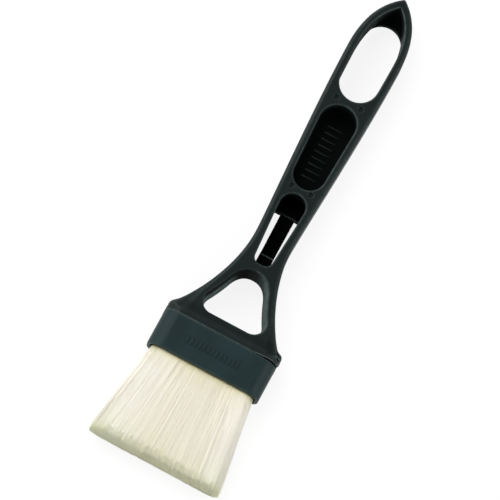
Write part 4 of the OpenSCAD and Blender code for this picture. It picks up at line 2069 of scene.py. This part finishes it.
    def build(self, seam: float, material: Material) -> Object:
        """Draw the bank.

        Args:
            seam: Place of the seam along the frame, in metres.
            material: The filaments' finish.

        Returns:
            The bank as one mesh.
        """
        length = self.root_y - self.end_y
        values: dict[str, Any] = {
            "Bank": float(self.bank.value),
            "Bank Pitch": self.bank_pitch,
            "Bank Half": self.bank_half,
            "Half Root": self.half_root,
            "Half Bore T": self.half_bore_t,
            "Root Corner": self.root_corner,
            "Half End": self.half_end,
            "Half End T": self.half_end_t,
            "End Corner": self.end_corner,
            "Mouth": (self.root_y - self.mouth_y) / length,
            "Length": length,
            "Root": self.root_y,
            "Middle": self.mid_z,
            "Radius": self.radius,
            "Ragged": self.ragged,
            "Wave": self.wave,
            "Droop": self.droop,
            "Corner Hold": self.corner_hold,
            "Droop Start": self.droop_rings[0],
            "Clump": self.clump,
            "Face Crowding": self.face_crowding,
            "Side Crowding": self.side_crowding,
        }
        tree = NodeRepeater("filaments_" + self.bank.name.lower(), material)
        for name in values:
            tree.declare(name)
        for name in ("Columns", "Rows", "Seed"):
            tree.declare(name, "NodeSocketInt")
        tree.declare("Seam", "NodeSocketVector")
        tree.close(self.bend_strands(tree, self.place_strands(tree)))
        seed = self.first_seed + self.seed_step * self.bank.value
        values |= {"Columns": self.columns, "Rows": self.rows, "Seed": seed}
        values["Seam"] = (0.0, seam, 0.0)
        return tree.run(self.strand(), values)


@dataclass
class PackCore:
    """The close-packed inside of the pack, combed lengthwise, which the drawn filaments cover."""

    pack: BristleBank
    top_y: float = -14.2
    inset: float = 0.16
    short: float = 3.0
    face_points: int = 150
    corner_points: int = 16
    side_points: int = 12
    rings: int = 48
    comb: float = 0.06
    comb_shares: Point = (0.25, 2.0)
    early: float = 0.04
    cap_along: Point = (0.1, 0.97)
    seed: int = 5

    def section(self, half: float, half_t: float, corner: float) -> Array:
        """Give a rounded rectangle's rim, with the same number of points whatever its size.

        Args:
            half: Half its width.
            half_t: Half its thickness.
            corner: Its corner radius.

        Returns:
            Rows of [across, through], all the way round.
        """
        half, half_t, corner = half - self.inset, half_t - self.inset, corner - self.inset
        x, z = half - corner, half_t - corner
        face = np.linspace(-x, x, self.face_points, endpoint=False)
        side = np.linspace(z, -z, self.side_points, endpoint=False)
        turn = np.linspace(0.0, math.pi / 2, self.corner_points, endpoint=False)
        quarter = [
            np.stack([face, np.full(len(face), half_t)], 1),
            np.stack([x + corner * np.sin(turn), z + corner * np.cos(turn)], 1),
            np.stack([np.full(len(side), half), side], 1),
            np.stack([x + corner * np.cos(turn), -z - corner * np.sin(turn)], 1),
        ]
        right = np.concatenate(quarter)
        return np.concatenate([right, -right])

    def build(self, seam: float, material: Material) -> Object:
        """Loft the core from inside the ferrule's mouth to just short of the trimmed ends.

        Args:
            seam: Place of the seam along the frame, in metres.
            material: The filaments' finish.

        Returns:
            The core as one closed mesh.
        """
        pack = self.pack
        chance = np.random.default_rng(self.seed)
        root = self.section(pack.half_root, pack.bank_pitch + pack.bank_half, pack.root_corner)
        end = self.section(pack.half_end, pack.half_end_t, pack.end_corner)
        count = len(root)
        comb = self.comb * (chance.random(count) - 0.5)[:, None] / pack.half_end_t
        relief = 1 + comb * np.array([self.comb_shares])
        points, along, seats = [], [], []
        start = pack.droop_rings[0]
        bends = [((ring - start) / (1 - start)) ** 2 for ring in pack.droop_rings]
        for y in np.linspace(self.top_y, pack.end_y + self.short, self.rings):
            free = max((pack.mouth_y - y) / (pack.mouth_y - pack.end_y), 0.0) ** pack.flare_power
            ring = (root + (end - root) * free) * relief
            t = (pack.root_y - y) / (pack.root_y - pack.end_y)
            seat = ring[:, 0] / np.abs(ring[:, 0]).max()
            sag = pack.droop * (1 - pack.corner_hold * np.abs(seat) ** pack.corner_power)
            sunk = 1 - sag * np.interp(t + self.early, pack.droop_rings, bends)
            height = (ring[:, 1] + pack.half_end_t) * sunk - pack.half_end_t + pack.mid_z
            points.append(np.stack([ring[:, 0], np.full(count, y), height], 1))
            along.append(np.full(count, t))
            seats.append(seat)
        caps = np.array([points[0].mean(0), points[-1].mean(0)])
        places = np.concatenate([*points, caps]) * MM + np.array([0.0, seam, 0.0])
        faces: list[tuple[int, ...]] = []
        last = (self.rings - 1) * count
        top_cap, end_cap = len(places) - 2, len(places) - 1
        for k in range(count):
            m = (k + 1) % count
            for a in range(0, last, count):
                b = a + count
                faces.append((a + k, a + m, b + m, b + k))
            faces.append((top_cap, m, k))
            faces.append((end_cap, last + k, last + m))
        mesh = bpy.data.meshes.new("filament_core")
        mesh.from_pydata([tuple(p) for p in places], [], faces)
        tint = np.tile(chance.random(count) ** pack.tint_power, self.rings)
        store_values(mesh, "along", np.append(np.concatenate(along), self.cap_along))
        store_values(mesh, "tint", np.append(tint, [0.0, 0.0]))
        store_values(mesh, "u", np.append(np.concatenate(seats), [0.0, 0.0]))
        mesh.polygons.foreach_set("use_smooth", np.ones(len(faces), bool))
        core = bpy.data.objects.new("filament_core", mesh)
        bpy.context.collection.objects.link(core)
        dress(core, material)
        return core


# ---- The studio ----


@dataclass(frozen=True)
class Floor:
    """Matte white paper sweep: it keeps the object's soft shadow and gives light back."""

    half_size: float = 12.0
    paper: str = "#eeeeee"
    glow: float = 0.86
    lit_share: str = "#6e6e6e"
    fibre_mm: float = 0.8

    def build(self) -> Object:
        """Make the floor.

        Returns:
            The floor's object.
        """
        material = bpy.data.materials.new("white_paper")
        material.use_nodes = True
        tree = material.node_tree
        tree.nodes.clear()
        place = add_node(tree, "ShaderNodeTexCoord").outputs["Object"]
        size = per_metre(self.fibre_mm)
        fibre = add_node(tree, "ShaderNodeTexNoise", {"Vector": place, "Scale": size})
        bump = add_node(
            tree,
            "ShaderNodeBump",
            {"Height": fibre.outputs["Fac"], "Strength": 0.05, "Distance": 0.02 * MM},
        )
        real = add_node(
            tree,
            "ShaderNodeBsdfDiffuse",
            {"Color": linear(self.paper), "Normal": bump.outputs["Normal"]},
        )
        seen = add_node(tree, "ShaderNodeBsdfDiffuse", {"Color": linear(self.lit_share)})
        glow = add_node(tree, "ShaderNodeEmission", {"Strength": self.glow})
        white = add_node(tree, "ShaderNodeAddShader", {0: seen.outputs[0], 1: glow.outputs[0]})
        light = add_node(tree, "ShaderNodeLightPath").outputs
        ray: Any = light["Is Camera Ray"]
        for name in ("Is Glossy Ray", "Is Transmission Ray"):
            ray = add_node(
                tree, "ShaderNodeMath", {0: ray, 1: light[name]}, operation="MAXIMUM"
            ).outputs[0]
        mix = add_node(
            tree, "ShaderNodeMixShader", {0: ray, 1: real.outputs[0], 2: white.outputs[0]}
        )
        add_node(tree, "ShaderNodeOutputMaterial", {"Surface": mix.outputs[0]})
        mesh = bpy.data.meshes.new("floor")
        s = self.half_size
        mesh.from_pydata([(-s, -s, 0), (s, -s, 0), (s, s, 0), (-s, s, 0)], [], [(0, 1, 2, 3)])
        floor = bpy.data.objects.new("floor", mesh)
        bpy.context.collection.objects.link(floor)
        dress(floor, material)
        return floor


@dataclass(frozen=True)
class SoftLamp:
    """One far, soft lamp, given by where its light comes from."""

    name: str
    across: float
    along: float
    up: float
    strength: float
    spread: float

    def build(self) -> Object:
        """Make the lamp.

        Returns:
            The lamp's object.
        """
        lamp = bpy.data.lights.new(self.name, "SUN")
        lamp.energy = self.strength
        lamp.angle = math.radians(self.spread)
        obj = bpy.data.objects.new(self.name, lamp)
        toward = Vector((self.across, self.along, self.up)).normalized()
        obj.matrix_world = toward.to_track_quat("Z", "Y").to_matrix().to_4x4()
        bpy.context.collection.objects.link(obj)
        return obj


@dataclass
class Studio:
    """Lamps, world, floor and camera."""

    lamps: tuple[SoftLamp, ...] = (
        SoftLamp("key", -0.50, 0.40, 0.76, 2.2, 50.0),
        SoftLamp("fill", 0.85, 0.12, 0.50, 1.7, 50.0),
        SoftLamp("low_left", -0.95, 0.05, 0.30, 0.9, 40.0),
        SoftLamp("low_front", -0.30, -0.93, 0.22, 1.55, 40.0),
    )
    world_level: float = 0.2
    tilt: float = 16.0
    turn: float = 2.3
    roll: float = 28.66
    distance: float = 2.2
    lens: float = 388.08
    target: Triple = (-0.0069, 0.03965, 0.008)
    sensor: float = 36.0

    def build_camera(self, seam: float) -> Object:
        """Set the camera over the brush, tilted towards its bristles and rolled.

        Args:
            seam: Place of the seam along the frame, in metres.

        Returns:
            The camera.
        """
        a, b, c = (math.radians(v) for v in (self.tilt, self.turn, self.roll))
        back = Vector((math.cos(a) * math.sin(b), -math.sin(a), math.cos(a) * math.cos(b)))
        up = (Vector((0.0, 1.0, 0.0)) - back * back.y).normalized()
        right = up.cross(back)
        top = up * math.cos(c) - right * math.sin(c)
        side = right * math.cos(c) + up * math.sin(c)
        camera = bpy.data.cameras.new("camera")
        camera.sensor_width = self.sensor
        camera.lens = self.lens
        camera.clip_end = 100.0
        obj = bpy.data.objects.new("camera", camera)
        place = Vector(self.target) + Vector((0.0, seam, 0.0)) + back * self.distance
        facing = Matrix((side, top, back)).transposed().to_4x4()
        obj.matrix_world = Matrix.Translation(place) @ facing
        bpy.context.collection.objects.link(obj)
        bpy.context.scene.camera = obj
        return obj

    def build(self, seam: float) -> None:
        """Set up everything round the object.

        Args:
            seam: Place of the seam along the frame, in metres.
        """
        scene = bpy.context.scene
        scene.view_settings.view_transform = "Standard"
        world = bpy.data.worlds.new("studio")
        world.use_nodes = True
        backdrop = world.node_tree.nodes["Background"]
        backdrop.inputs["Color"].default_value = (1.0, 1.0, 1.0, 1.0)
        backdrop.inputs["Strength"].default_value = self.world_level
        scene.world = world
        Floor().build()
        for lamp in self.lamps:
            lamp.build()
        self.build_camera(seam)
        log.info("studio: floor, %d lamps and the camera", len(self.lamps))


# ---- The whole brush ----


def settle(piece: Object, body: str, nodes: Iterable[str] = ()) -> None:
    """Tie a finished piece to its body and the CAD nodes it stands for.

    Args:
        piece: The finished piece.
        body: The body that it rides on.
        nodes: CAD nodes that it replaces.
    """
    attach(piece, body)
    if nodes:
        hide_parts(*nodes)
    log.info("%s rides on %s with %d faces", piece.name, body, len(piece.data.polygons))


def main() -> None:
    """Build the brush on its frame, then the studio round it."""
    logging.basicConfig(level=logging.INFO, format="%(name)s: %(message)s")
    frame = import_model()
    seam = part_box("handle")[1].y - HandleOutline().length * MM
    handle_plastic = MouldedPolypropylene("moulded_polypropylene_handle").shades()
    ferrule_plastic = MouldedPolypropylene(
        "moulded_polypropylene_ferrule", colour="#142425", pale="#1a2d2f"
    ).build()
    filament = BleachedFilament().build()
    handle, panel_ribs = Handle().build(seam, handle_plastic)
    settle(handle, BODY_BRUSH, ["handle"])
    settle(panel_ribs, BODY_BRUSH)
    tongue = ClipTongue().build(seam, handle_plastic)
    settle(tongue, BODY_CLIP, ["clip_tongue"])
    ferrule, ferrule_ribs = Ferrule().build(seam, ferrule_plastic)
    settle(ferrule, BODY_BRUSH, ["ferrule"])
    settle(ferrule_ribs, BODY_BRUSH)
    for bank in Bank:
        filaments = BristleBank(bank).build(seam, filament)
        settle(filaments, BODY_BRUSH, ["bristles_" + bank.name.lower()])
    settle(PackCore(BristleBank(Bank.MIDDLE)).build(seam, filament), BODY_BRUSH)
    dress(frame["nodes"]["glue_setting"], PouredEpoxy().build())
    basswood = SawnBasswood().build()
    for node in ("spacer_plug_front", "spacer_plug_back"):
        dress(frame["nodes"][node], basswood)
    Studio().build(seam)


if __name__ == "__main__":
    main()
